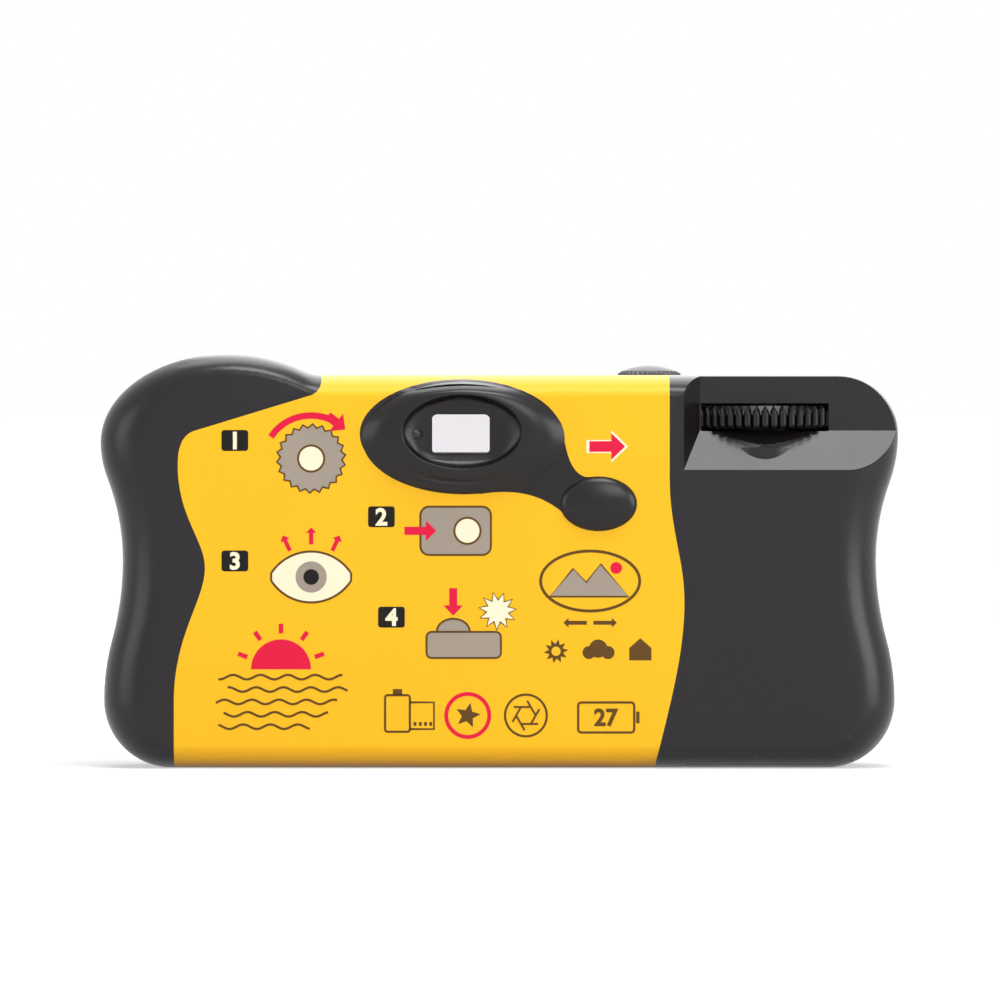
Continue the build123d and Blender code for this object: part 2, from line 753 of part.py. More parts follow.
# Rear cover
with BuildPart() as rear_cover:
    add(rear_outer)
    add(recess_bite(0), mode=Mode.SUBTRACT)
    post(CASSETTE_X, PAD_FRONT_Y + PAD_R, (LEDGE_LOW_Z - WALL, PAD_TOP_Z), PAD_R)
    with Locations((CASSETTE_X, RECESS_BACK_Y - PAD_NOTCH_IN - PAD_NOTCH_R, PAD_TOP_Z + PAD_NOTCH_H / 2)):
        Cylinder(PAD_NOTCH_R, PAD_NOTCH_H, mode=Mode.SUBTRACT)
    add(mound_form(FINDER_X, FINDER_Z, MOUND_HALF_X, MOUND_HALF_Z, MOUND_OUT, MOUND_EDGE))
    add(mound_form(BUMP_X, BUMP_Z, BUMP_HALF_X - GAP, BUMP_HALF_Z - GAP, BUMP_OUT, BUMP_EDGE))
    add(rear_cavity.part, mode=Mode.SUBTRACT)
    add(rear_label.part, mode=Mode.SUBTRACT)
    with BuildSketch(Plane.XZ.offset(-REAR_Y + MOUND_OUT)):
        with Locations((FINDER_X, FINDER_Z)):
            Ellipse(DISH_HALF_X, DISH_HALF_Z)
    with BuildSketch(Plane.XZ.offset(-REAR_Y - WINDOW_SET)):
        with Locations((FINDER_X, FINDER_Z)):
            RectangleRounded(WINDOW_X + 2 * GAP, WINDOW_Z + 2 * GAP, WINDOW_R)
    loft(mode=Mode.SUBTRACT)
    with BuildSketch(Plane.XZ.offset(-REAR_IN - OVER)):
        with Locations((FINDER_X, FINDER_Z)):
            RectangleRounded(WINDOW_X + 2 * GAP, WINDOW_Z + 2 * GAP, WINDOW_R)
    extrude(amount=REAR_IN - REAR_Y + OVER, mode=Mode.SUBTRACT)
    rod(READY_X, FINDER_Z, (REAR_Y - MOUND_OUT, REAR_IN + OVER), READY_R + GAP, mode=Mode.SUBTRACT)
    slot_z = (WHEEL_Z - SLOT_GAP, WHEEL_TOP + SLOT_GAP)
    post(CASSETTE_X, CASSETTE_Y, slot_z, WHEEL_R + SLOT_GAP, mode=Mode.SUBTRACT)
    add(door_hole.part, mode=Mode.SUBTRACT)
    for rib_z in PRESS_RIB_ZS:
        block(
            (LENS_X - PRESS_RIB_HALF, LENS_X + PRESS_RIB_HALF),
            (REAR_IN - WALL / 2, PRESS_RIB_Y),
            (rib_z - PRESS_RIB_T / 2, rib_z + PRESS_RIB_T / 2),
        )
rear_cover.part.label = "rear_cover"
export_step(rear_cover.part, "parts/rear_cover.step")

# Front cover
with BuildPart() as front_cover:
    add(front_outer)
    add(front_inner, mode=Mode.SUBTRACT)
    with BuildSketch(Plane.XZ.offset(-FRONT_Y + WALL / 2)):
        with Locations((FLASH_X, FLASH_Z)):
            RectangleRounded(
                2 * (FLASH_HALF_X + FLASH_RIM), 2 * (FLASH_HALF_Z + FLASH_RIM), FLASH_CORNER + FLASH_RIM
            )
    extrude(amount=-WALL / 2 - FLASH_RIM_OUT, taper=RIM_TAPER)
    rod(CHARGE_X, CHARGE_Z, (FRONT_Y - WALL / 2, FRONT_Y + CHARGE_RIM_OUT), CHARGE_R + CHARGE_RIM)
    for y, half in ((FRONT_Y - WALL / 2, GRIP_HALF), (FRONT_Y + GRIP_OUT, GRIP_HALF - GRIP_TAPER)):
        with BuildSketch(Plane.XZ.offset(-y)):
            with BuildLine():
                inner = Spline(
                    (GRIP_END_X, GRIP_HIGH_Z - GRIP_HALF + half),
                    (GRIP_MID_X - half, WAIST_Z),
                    (GRIP_END_X, GRIP_LOW_Z + GRIP_HALF - half),
                )
                Spline(inner @ 1, (GRIP_MID_X + half, WAIST_Z), inner @ 0)
            make_face()
    loft()
    add(front_label.part, mode=Mode.SUBTRACT)
    with BuildSketch(Plane.XZ.offset(-FRONT_IN + OVER)):
        with Locations((FLASH_X, FLASH_Z)):
            RectangleRounded(2 * (FLASH_HALF_X + GAP), 2 * (FLASH_HALF_Z + GAP), FLASH_CORNER)
        with Locations((FINDER_X, FINDER_Z)):
            Rectangle(FINDER_FRONT_X - 2 * FINDER_LEDGE, FINDER_FRONT_Z - 2 * FINDER_LEDGE)
        with Locations((LENS_X, LENS_Z)):
            Circle(HOLDER_R + LOOSE)
        with Locations((CHARGE_X, CHARGE_Z)):
            Circle(CHARGE_R)
    extrude(amount=-WALL - 2 * OVER, mode=Mode.SUBTRACT)
    post(BUTTON_X, BUTTON_Y, (TOP_IN - OVER, TOP_Z + OVER), BUTTON_R + GAP, mode=Mode.SUBTRACT)
    with BuildSketch(Plane.XY.offset(TOP_IN - OVER)):
        with Locations((COUNTER_WINDOW_X, COUNTER_Y)):
            RectangleRounded(
                2 * (COUNTER_WINDOW_HALF + GAP), 2 * (COUNTER_WINDOW_HALF + GAP), COUNTER_WINDOW_R
            )
    extrude(amount=WALL + 2 * OVER, mode=Mode.SUBTRACT)
    add(door_hole.part, mode=Mode.SUBTRACT)
front_cover.part.label = "front_cover"
export_step(front_cover.part, "parts/front_cover.step")

# Cassette door: the piece of the base under the cassette, with a ring that holds the cassette up
with BuildPart() as cassette_door:
    add(rear_outer)
    add(front_outer)
    add(rear_inner, mode=Mode.SUBTRACT)
    add(front_inner, mode=Mode.SUBTRACT)
    block(
        (DOOR_LEFT + GAP, DOOR_RIGHT - GAP),
        (DOOR_REAR + GAP, DOOR_FRONT - GAP),
        (-OVER, DOOR_HEIGHT - GAP),
        mode=Mode.INTERSECT,
    )
    post(CASSETTE_X, CASSETTE_Y, (WALL / 2, CASSETTE_BASE - GAP), DOOR_RING_R)
    post(CASSETTE_X, CASSETTE_Y, (WALL, CASSETTE_BASE), DOOR_RING_R - DOOR_RING_T, mode=Mode.SUBTRACT)
cassette_door.part.label = "cassette_door"
export_step(cassette_door.part, "parts/cassette_door.step")

# Bezel round the lens and the viewfinder, hollow behind
with BuildPart() as lens_bezel:
    with BuildSketch(Plane.XZ.offset(-FRONT_Y)):
        add(bezel_outline.sketch)
    extrude(amount=-BEZEL_LOW)
    chamfer(lens_bezel.faces().sort_by(Axis.Y)[-1].edges(), BEZEL_EDGE)
    with Locations((LENS_X, FRONT_Y + (BEZEL_LOW + BEZEL_HIGH) / 2, LENS_Z)):
        Cone(BEZEL_CONE_R, BEZEL_FACE_R, BEZEL_HIGH - BEZEL_LOW, rotation=(-QUARTER, 0, 0))
    chamfer(lens_bezel.faces().sort_by(Axis.Y)[-1].edges(), BEZEL_EDGE)
    rod(LENS_X, LENS_Z, (FRONT_Y, FRONT_Y + BEZEL_BACK), BEZEL_BACK_R, mode=Mode.SUBTRACT)
    rod(LENS_X, LENS_Z, (FRONT_Y, FRONT_Y + BEZEL_BACK), LENS_R + BEZEL_TUBE)
    with Locations((LENS_X, FRONT_Y + BEZEL_HIGH - BEZEL_FUNNEL_DEPTH / 2, LENS_Z)):
        Cone(
            LENS_R + BEZEL_LIP_STEP,
            BEZEL_FUNNEL_R,
            BEZEL_FUNNEL_DEPTH,
            rotation=(-QUARTER, 0, 0),
            mode=Mode.SUBTRACT,
        )
    rod(LENS_X, LENS_Z, (FRONT_Y, FRONT_Y + LENS_SEAT), LENS_R + GAP, mode=Mode.SUBTRACT)
    rod(LENS_X, LENS_Z, (FRONT_Y, FRONT_Y + BEZEL_HIGH), LENS_R - LENS_LIP, mode=Mode.SUBTRACT)
    block(
        (FINDER_X - FINDER_FRONT_X / 2 - GAP, FINDER_X + FINDER_FRONT_X / 2 + GAP),
        (FRONT_Y, FRONT_Y + BEZEL_HIGH),
        (FINDER_Z - FINDER_FRONT_Z / 2 - GAP, FINDER_Z + FINDER_FRONT_Z / 2 + GAP),
        mode=Mode.SUBTRACT,
    )
lens_bezel.part.label = "lens_bezel"
export_step(lens_bezel.part, "parts/lens_bezel.step")

# Taking lens, a plastic meniscus, and the holder that presses it into the bezel
with BuildPart() as taking_lens:
    rod(LENS_X, LENS_Z, (FRONT_Y + LENS_SEAT - LENS_T, FRONT_Y + LENS_SEAT + OVER), LENS_R)
    with Locations((LENS_X, FRONT_Y + LENS_SEAT - LENS_T + LENS_HOLLOW - LENS_BACK_R, LENS_Z)):
        Sphere(LENS_BACK_R, mode=Mode.SUBTRACT)
    with Locations((LENS_X, FRONT_Y + LENS_SEAT - LENS_FRONT_R, LENS_Z)):
        Sphere(LENS_FRONT_R, mode=Mode.INTERSECT)
taking_lens.part.label = "taking_lens"
export_step(taking_lens.part, "parts/taking_lens.step")

with BuildPart() as lens_holder:
    rod(LENS_X, LENS_Z, (APERTURE_Y + APERTURE_T, FRONT_Y), HOLDER_R)
    rod(LENS_X, LENS_Z, (FRONT_Y, FRONT_Y + LENS_SEAT - LENS_T), LENS_R)
    rod(LENS_X, LENS_Z, (APERTURE_Y, FRONT_Y + LENS_SEAT), LENS_R - LENS_LIP, mode=Mode.SUBTRACT)
lens_holder.part.label = "lens_holder"
export_step(lens_holder.part, "parts/lens_holder.step")

# Viewfinder lenses
with BuildPart() as finder_front_lens:
    block(
        (FINDER_X - FINDER_FRONT_X / 2, FINDER_X + FINDER_FRONT_X / 2),
        (FRONT_Y, FRONT_Y + FINDER_LENS_T),
        (FINDER_Z - FINDER_FRONT_Z / 2, FINDER_Z + FINDER_FRONT_Z / 2),
    )
    plug_x = FINDER_FRONT_X / 2 - FINDER_LEDGE - GAP
    plug_z = FINDER_FRONT_Z / 2 - FINDER_LEDGE - GAP
    block((FINDER_X - plug_x, FINDER_X + plug_x), (FRONT_IN, FRONT_Y), (FINDER_Z - plug_z, FINDER_Z + plug_z))
    with Locations((FINDER_X, FRONT_Y + FINDER_LENS_T - FINDER_HOLLOW + FINDER_LENS_R, FINDER_Z)):
        Sphere(FINDER_LENS_R, mode=Mode.SUBTRACT)
finder_front_lens.part.label = "finder_front_lens"
export_step(finder_front_lens.part, "parts/finder_front_lens.step")

with BuildPart() as finder_rear_lens:
    with BuildSketch(Plane.XZ.offset(-REAR_IN)):
        with Locations((FINDER_X, FINDER_Z)):
            RectangleRounded(WINDOW_X, WINDOW_Z, WINDOW_R)
    extrude(amount=REAR_IN - REAR_Y - WINDOW_SET - GAP)
    block(
        (FINDER_X - WINDOW_X / 2 - WINDOW_FLANGE, FINDER_X + WINDOW_X / 2 + WINDOW_FLANGE),
        (REAR_IN, REAR_IN + WINDOW_FLANGE),
        (FINDER_Z - WINDOW_Z / 2 - WINDOW_FLANGE, FINDER_Z + WINDOW_Z / 2 + WINDOW_FLANGE),
    )
finder_rear_lens.part.label = "finder_rear_lens"
export_step(finder_rear_lens.part, "parts/finder_rear_lens.step")

# Viewfinder box between the two lenses, standing on the deck
with BuildPart() as finder_box:
    for y, half_x, half_z in (
        (REAR_IN + WINDOW_FLANGE, FINDER_BOX_REAR, FINDER_BOX_HALF_Z),
        (FRONT_IN, FINDER_BOX_FRONT, FINDER_BOX_HALF_Z),
    ):
        with BuildSketch(Plane.XZ.offset(-y)):
            with Locations((FINDER_X, DECK_TOP + FINDER_BOX_HALF_Z)):
                Rectangle(2 * half_x, 2 * half_z)
    loft(ruled=True)
    for y, half_x, half_z in (
        (REAR_IN, FINDER_BOX_REAR - FINDER_BOX_T, FINDER_BOX_HALF_Z - FINDER_BOX_T),
        (FRONT_Y, FINDER_BOX_FRONT - FINDER_BOX_T, FINDER_BOX_HALF_Z - FINDER_BOX_T),
    ):
        with BuildSketch(Plane.XZ.offset(-y)):
            with Locations((FINDER_X, DECK_TOP + FINDER_BOX_HALF_Z)):
                Rectangle(2 * half_x, 2 * half_z)
    loft(ruled=True, mode=Mode.SUBTRACT)
finder_box.part.label = "finder_box"
export_step(finder_box.part, "parts/finder_box.step")

# Light pipe of the ready lamp, and the lamp
with BuildPart() as light_pipe:
    rod(READY_X, FINDER_Z, (REAR_Y - READY_OUT, READY_PIPE_END), READY_R)
light_pipe.part.label = "light_pipe"
export_step(light_pipe.part, "parts/light_pipe.step")
with BuildPart() as ready_lamp:
    lamp_y = READY_PIPE_END + GAP
    rod(READY_X - READY_LAMP_SHIFT, FINDER_Z, (lamp_y, lamp_y + READY_LAMP), READY_LAMP_R)
    chamfer(ready_lamp.faces().sort_by(Axis.Y)[0].edges(), READY_LAMP_R / 2)
ready_lamp.part.label = "ready_lamp"
export_step(ready_lamp.part, "parts/ready_lamp.step")

# Flash window, reflector trough and xenon tube
with BuildPart() as flash_window:
    with BuildSketch(Plane.XZ.offset(-FRONT_Y - FLASH_WINDOW_OUT)):
        with Locations((FLASH_X, FLASH_Z)):
            RectangleRounded(2 * FLASH_HALF_X, 2 * FLASH_HALF_Z, FLASH_CORNER)
    extrude(amount=FLASH_WINDOW_T)
flash_window.part.label = "flash_window"
export_step(flash_window.part, "parts/flash_window.step")

REFLECTOR_Y = FRONT_IN - GAP
reflector_share = ((0, 1), (0.55, 0.84), (0.86, 0.52), (1, 0.2))
with BuildPart() as flash_reflector:
    for skin, mode in ((0, Mode.ADD), (REFLECTOR_T, Mode.SUBTRACT)):
        half_z = FLASH_HALF_Z - GAP - skin
        depth = REFLECTOR_DEPTH - skin
        upper = [(REFLECTOR_Y - depth * deep, FLASH_Z + half_z * out) for deep, out in reflector_share]
        lower = [(y, 2 * FLASH_Z - z) for y, z in reversed(upper)]
        with BuildSketch(Plane.YZ.offset(FLASH_X - FLASH_HALF_X + GAP + skin)):
            with BuildLine():
                Polyline(*upper, *lower, close=True)
            make_face()
        extrude(amount=2 * (FLASH_HALF_X - GAP - skin), mode=mode)
    bar(
        REFLECTOR_Y - REFLECTOR_DEPTH + FLASH_TUBE_SET,
        FLASH_Z,
        (FLASH_X - FLASH_HALF_X, FLASH_X + FLASH_HALF_X),
        FLASH_TUBE_R + GAP,
        mode=Mode.SUBTRACT,
    )
flash_reflector.part.label = "flash_reflector"
export_step(flash_reflector.part, "parts/flash_reflector.step")

with BuildPart() as flash_tube:
    bar(
        REFLECTOR_Y - REFLECTOR_DEPTH + FLASH_TUBE_SET,
        FLASH_Z,
        (FLASH_X - FLASH_HALF_X - FLASH_TUBE_OVER, FLASH_X + FLASH_HALF_X + FLASH_TUBE_OVER),
        FLASH_TUBE_R,
    )
flash_tube.part.label = "flash_tube"
export_step(flash_tube.part, "parts/flash_tube.step")

# Flash capacitor behind the reflector, a can with its crimped groove
with BuildPart() as flash_capacitor:
    groove_x = CAPACITOR_X[1] - CAPACITOR_NECK
    bar(CAPACITOR_Y, CAPACITOR_Z, (CAPACITOR_X[0], groove_x - CAPACITOR_GROOVE), CAPACITOR_R)
    bar(CAPACITOR_Y, CAPACITOR_Z, (groove_x + CAPACITOR_GROOVE, CAPACITOR_X[1]), CAPACITOR_R)
    chamfer(flash_capacitor.edges(), CAPACITOR_GROOVE)
    bar(CAPACITOR_Y, CAPACITOR_Z, CAPACITOR_X, CAPACITOR_R - CAPACITOR_EDGE)
flash_capacitor.part.label = "flash_capacitor"
export_step(flash_capacitor.part, "parts/flash_capacitor.step")

# Circuit board, upright behind the front cover, cut away over the cell
with BuildPart() as circuit_board:
    block((BOARD_LEFT, BOARD_STEP_X), (BOARD_Y, BOARD_Y + BOARD_T), (BOARD_LOW, BOARD_HIGH))
    block((BOARD_STEP_X, BOARD_RIGHT), (BOARD_Y, BOARD_Y + BOARD_T), (BOARD_STEP_Z, BOARD_HIGH))
circuit_board.part.label = "circuit_board"
export_step(circuit_board.part, "parts/circuit_board.step")

with BuildPart() as transformer:
    block(TRANSFORMER_X, (BOARD_Y - TRANSFORMER_DEPTH, BOARD_Y), TRANSFORMER_Z)
    bobbin_z = (TRANSFORMER_Z[0] + TRANSFORMER_CORE, TRANSFORMER_Z[1] - TRANSFORMER_CORE)
    for side_x in TRANSFORMER_X:
        block(
            (side_x - TRANSFORMER_CORE, side_x + TRANSFORMER_CORE),
            (BOARD_Y - TRANSFORMER_DEPTH + TRANSFORMER_CORE, BOARD_Y - TRANSFORMER_CORE),
            bobbin_z,
            mode=Mode.SUBTRACT,
        )
transformer.part.label = "transformer"
export_step(transformer.part, "parts/transformer.step")

with BuildPart() as trigger_coil:
    post(COIL_X, BOARD_Y - COIL_R, COIL_Z, COIL_R)
trigger_coil.part.label = "trigger_coil"
export_step(trigger_coil.part, "parts/trigger_coil.step")

with BuildPart() as transistor:
    block(TRANSISTOR_X, (BOARD_Y - TRANSISTOR_DEPTH, BOARD_Y), TRANSISTOR_Z)
    chamfer(transistor.edges().filter_by(Axis.Z).group_by(Axis.Y)[0], TRANSISTOR_DEPTH / 3)
transistor.part.label = "transistor"
export_step(transistor.part, "parts/transistor.step")

# Charge contact, a sprung dome on the board, and the button that presses it
BOARD_FACE = BOARD_Y + BOARD_T
with BuildPart() as charge_contact:
    rod(CHARGE_X, CHARGE_Z, (BOARD_FACE, BOARD_FACE + CHARGE_CONTACT_T), CHARGE_CONTACT_R)
charge_contact.part.label = "charge_contact"
export_step(charge_contact.part, "parts/charge_contact.step")

with BuildPart() as charge_button:
    rod(CHARGE_X, CHARGE_Z, (FRONT_IN - GAP, FRONT_Y + CHARGE_OUT), CHARGE_R - GAP)
    chamfer(charge_button.faces().sort_by(Axis.Y)[-1].edges(), CHARGE_DOME)
    rod(CHARGE_X, CHARGE_Z, (FRONT_IN - GAP - CHARGE_FLANGE_T, FRONT_IN - GAP), CHARGE_R + CHARGE_FLANGE)
    rod(CHARGE_X, CHARGE_Z, (FRONT_IN - GAP - CHARGE_FLANGE_T, FRONT_IN), CHARGE_R - WALL, mode=Mode.SUBTRACT)
charge_button.part.label = "charge_button"
export_step(charge_button.part, "parts/charge_button.step")

# Size AA cell and its two contacts
CELL_LEFT = CELL_X - CELL_LENGTH / 2
CELL_RIGHT = CELL_X + CELL_LENGTH / 2
with BuildPart() as battery:
    bar(CELL_Y, CELL_Z, (CELL_LEFT, CELL_RIGHT), CELL_R)
    chamfer(battery.edges().filter_by(GeomType.CIRCLE), CELL_EDGE)
    bar(CELL_Y, CELL_Z, (CELL_RIGHT, CELL_RIGHT + CELL_NUB), CELL_NUB_R)
battery.part.label = "battery"
export_step(battery.part, "parts/battery.step")

with BuildPart() as contact_positive:
    block(
        (CELL_RIGHT + CELL_NUB, CELL_RIGHT + CELL_NUB + CONTACT_T),
        (CELL_Y - CONTACT_HALF, CELL_Y + CONTACT_HALF),
        (CELL_Z - CONTACT_HALF, CELL_Z + CONTACT_HALF),
    )
contact_positive.part.label = "contact_positive"
export_step(contact_positive.part, "parts/contact_positive.step")

with BuildPart() as contact_negative:
    block(
        (CELL_LEFT - CONTACT_SPRING - CONTACT_T, CELL_LEFT - CONTACT_SPRING),
        (CELL_Y - CONTACT_HALF, CELL_Y + CONTACT_HALF),
        (CELL_Z - CONTACT_HALF, CELL_Z + CONTACT_HALF),
    )
    with Locations((CELL_LEFT - CONTACT_SPRING / 2, CELL_Y, CELL_Z)):
        Cone(CONTACT_SPRING_R, CONTACT_SPRING_R / 2, CONTACT_SPRING, rotation=(0, QUARTER, 0))
contact_negative.part.label = "contact_negative"
export_step(contact_negative.part, "parts/contact_negative.step")

# Main frame: film plate with the gate, supply and cassette chambers, deck, bearings and posts
with BuildPart() as main_frame:
    supply_half = FILM_WIDTH / 2 + LOOSE + FLANGE_T + LOOSE
    block((DECK_LEFT, PLATE_RIGHT), (PLATE_REAR, PLATE_FRONT), (WALL + LOOSE, DECK_TOP))
    chamber_top = FILM_Z + supply_half + CHAMBER_T
    block((PLATE_LEFT, DECK_LEFT), (PLATE_REAR, PLATE_FRONT), (WALL + LOOSE, chamber_top))
    post(
        SUPPLY_X,
        SUPPLY_Y,
        (FILM_Z - supply_half - CHAMBER_T, FILM_Z + supply_half + CHAMBER_T),
        SUPPLY_R + CHAMBER_T,
    )
    post(CASSETTE_X, CASSETTE_Y, (CASSETTE_BASE, DECK_Z), TAKE_UP_R + CHAMBER_T)
    block(
        (CELL_RIGHT + CELL_NUB + CONTACT_T, CELL_RIGHT + CELL_NUB + CONTACT_T + CRADLE_T),
        (PLATE_FRONT, CRADLE_FRONT),
        (WALL + 2 * LOOSE, CRADLE_HIGH),
    )
    block(
        (CELL_LEFT - CONTACT_SPRING - CONTACT_T - CRADLE_T, CELL_LEFT - CONTACT_SPRING - CONTACT_T),
        (PLATE_FRONT, CRADLE_FRONT),
        (WALL + 2 * LOOSE, CRADLE_HIGH),
    )
    for foot_x in FOOT_XS:
        foot_y = (PLATE_FRONT, PLATE_FRONT + FOOT_D)
        block((foot_x - FOOT_W / 2, foot_x + FOOT_W / 2), foot_y, (WALL, WALL + FOOT_W))
    post(SUPPLY_X, SUPPLY_Y, (FILM_Z - supply_half, FILM_Z + supply_half), SUPPLY_R, mode=Mode.SUBTRACT)
    post(CASSETTE_X, CASSETTE_Y, (0, DECK_Z), TAKE_UP_R, mode=Mode.SUBTRACT)
    block(
        (SUPPLY_X - SUPPLY_R - WALL, CASSETTE_X + TAKE_UP_R + WALL),
        (REAR_Y, PLATE_REAR),
        (0, DECK_Z),
        mode=Mode.SUBTRACT,
    )
    block(
        (LIP_LEFT - LIP_GAP, CASSETTE_X),
        (REAR_Y, FILM_Y + FILM_T + LIP_T + 2 * LIP_GAP),
        (0, DECK_Z),
        mode=Mode.SUBTRACT,
    )
    block((DECK_LEFT, DECK_RIGHT), (DECK_REAR, FRONT_IN), (DECK_Z, DECK_TOP))
    block((DECK_LEFT, DECK_REAR_RIGHT), (REAR_IN, DECK_REAR), (DECK_Z, DECK_TOP))
    post(CASSETTE_X, CASSETTE_Y, (DECK_Z, WHEEL_Z - FINGER_GAP), HUB_WHEEL_R + COLLAR_T)
    post(CASSETTE_X, CASSETTE_Y, (DECK_Z, WHEEL_Z), HUB_WHEEL_R + RUN_FIT, mode=Mode.SUBTRACT)
    block(
        (LENS_X - GATE_HALF_X, LENS_X + GATE_HALF_X),
        (PLATE_REAR, PLATE_FRONT),
        (FILM_Z - GATE_HALF_Z, FILM_Z + GATE_HALF_Z),
        mode=Mode.SUBTRACT,
    )
    drum_z = FILM_Z + PERF_ROW
    block(
        (SPROCKET_X - SPROCKET_R - LOOSE, SPROCKET_X + SPROCKET_R + LOOSE),
        (PLATE_REAR, PLATE_FRONT),
        (drum_z - DRUM_T / 2 - LOOSE, drum_z + DRUM_T / 2 + LOOSE),
        mode=Mode.SUBTRACT,
    )
    post(
        SPROCKET_X,
        SPROCKET_Y,
        (drum_z - DRUM_T / 2 - LOOSE, drum_z + DRUM_T / 2 + LOOSE),
        SPROCKET_R + TOOTH_OUT + LOOSE,
        mode=Mode.SUBTRACT,
    )
    block(
        (SPROCKET_X - SHELF_HALF, SPROCKET_X + SHELF_HALF),
        (PLATE_FRONT, SPROCKET_Y + SHELF_HALF),
        (SHELF_Z, SHELF_Z + SHELF_T),
    )
    post(SPROCKET_X, SPROCKET_Y, (SHELF_Z, SHELF_Z + SHELF_T), STUB_R + RUN_FIT, mode=Mode.SUBTRACT)
    post(SPROCKET_X, SPROCKET_Y, (DECK_Z, DECK_TOP), SHAFT_R + RUN_FIT, mode=Mode.SUBTRACT)
    for side in (-1, 1):
        post(
            SUPPLY_X,
            SUPPLY_Y,
            (FILM_Z + side * supply_half, FILM_Z + side * (supply_half + CHAMBER_T)),
            PIN_R + RUN_FIT,
            mode=Mode.SUBTRACT,
        )
    block(
        (BLADE_SLOT_LEFT, BLADE_SLOT_RIGHT),
        (TUNNEL_FRONT + TUNNEL_T, APERTURE_Y),
        (DECK_Z, DECK_TOP),
        mode=Mode.SUBTRACT,
    )
    for post_x, post_y in MECH_POSTS:
        post(post_x, post_y, (DECK_TOP, MECH_Z), MECH_POST_R)
    post(METER_X, METER_Y, (DECK_TOP, METER_Z - RUN_FIT), SHOULDER_R)
    post(METER_X, METER_Y, (DECK_TOP, MECH_Z), PIVOT_R)
    post(KICK_X, KICK_Y, (DECK_TOP, KICK_Z - RUN_FIT), SHOULDER_R)
    post(KICK_X, KICK_Y, (DECK_TOP, KICK_Z + KICK_T + SPRING_ROOM), PIVOT_R)
    post(*PAWL_POST, (DECK_TOP, PAWL_Z[0]), PIVOT_R)
main_frame.part.label = "main_frame"
export_step(main_frame.part, "parts/main_frame.step")

# Light tunnel from the gate to the shutter, with the plate that carries the blade
with BuildPart() as light_tunnel:
    for grow, mode in ((TUNNEL_T, Mode.ADD), (0, Mode.SUBTRACT)):
        for y, half_x, half_z in (
            (PLATE_FRONT, GATE_HALF_X, GATE_HALF_Z),
            (TUNNEL_FRONT, TUNNEL_FRONT_HALF, TUNNEL_FRONT_HALF),
        ):
            with BuildSketch(Plane.XZ.offset(-y)):
                with Locations((LENS_X, LENS_Z)):
                    Rectangle(2 * (half_x + grow), 2 * (half_z + grow))
        loft(ruled=True, mode=mode)
    block((SHUTTER_LEFT, SHUTTER_RIGHT), (TUNNEL_FRONT, TUNNEL_FRONT + TUNNEL_T), (SHUTTER_LOW, DECK_Z))
    for rib_x in (SHUTTER_LEFT, SHUTTER_RIGHT - SHUTTER_RIB):
        block((rib_x, rib_x + SHUTTER_RIB), (TUNNEL_FRONT + TUNNEL_T, APERTURE_Y), (SHUTTER_LOW, DECK_Z))
    rod(LENS_X, LENS_Z, (TUNNEL_FRONT, TUNNEL_FRONT + TUNNEL_T), TUNNEL_HOLE_R, mode=Mode.SUBTRACT)
    rod(BLADE_X, BLADE_Z, (TUNNEL_FRONT, APERTURE_Y), PIVOT_R)
light_tunnel.part.label = "light_tunnel"
export_step(light_tunnel.part, "parts/light_tunnel.step")

# Aperture plate in front of the blade
with BuildPart() as aperture_plate:
    block((SHUTTER_LEFT, SHUTTER_RIGHT), (APERTURE_Y, APERTURE_Y + APERTURE_T), (SHUTTER_LOW, DECK_Z))
    rod(LENS_X, LENS_Z, (APERTURE_Y, APERTURE_Y + APERTURE_T), APERTURE_R, mode=Mode.SUBTRACT)
aperture_plate.part.label = "aperture_plate"
export_step(aperture_plate.part, "parts/aperture_plate.step")

# Shutter blade: a disc over the hole, an arm, and a tab that rises through the deck
BLADE_Y = (TUNNEL_FRONT + TUNNEL_T + APERTURE_Y) / 2
with BuildPart() as shutter_blade:
    with BuildSketch(Plane.XZ.offset(-BLADE_Y - BLADE_T / 2)):
        with Locations((LENS_X, LENS_Z)):
            Circle(BLADE_R)
        with Locations((BLADE_X, BLADE_Z)):
            Circle(HUB_R)
        with BuildLine():
            Line((BLADE_X, BLADE_Z), (LENS_X, LENS_Z))
        trace(line_width=BLADE_ARM)
        with BuildLine():
            Line((BLADE_X, BLADE_Z), (BLADE_X, BLADE_TAB_Z))
        trace(line_width=BLADE_TAB)
        with Locations((BLADE_X, BLADE_Z)):
            Circle(PIVOT_R + RUN_FIT, mode=Mode.SUBTRACT)
    extrude(amount=BLADE_T)
shutter_blade.part.label = "shutter_blade"
export_step(shutter_blade.part, "parts/shutter_blade.step")

# Kick lever: one arm strikes the blade's tab, the other is held by the button's stem
with BuildPart() as kick_lever:
    with BuildSketch(Plane.XY.offset(KICK_Z)):
        with Locations((KICK_X, KICK_Y)):
            Circle(HUB_R)
        with BuildLine():
            Polyline(KICK_TIP, (KICK_X, KICK_Y), KICK_CATCH)
        trace(line_width=KICK_W)
        with Locations(KICK_TIP, KICK_CATCH):
            Circle(KICK_W / 2)
        with Locations((KICK_X, KICK_Y)):
            Circle(PIVOT_R + RUN_FIT, mode=Mode.SUBTRACT)
    extrude(amount=KICK_T)
kick_lever.part.label = "kick_lever"
export_step(kick_lever.part, "parts/kick_lever.step")

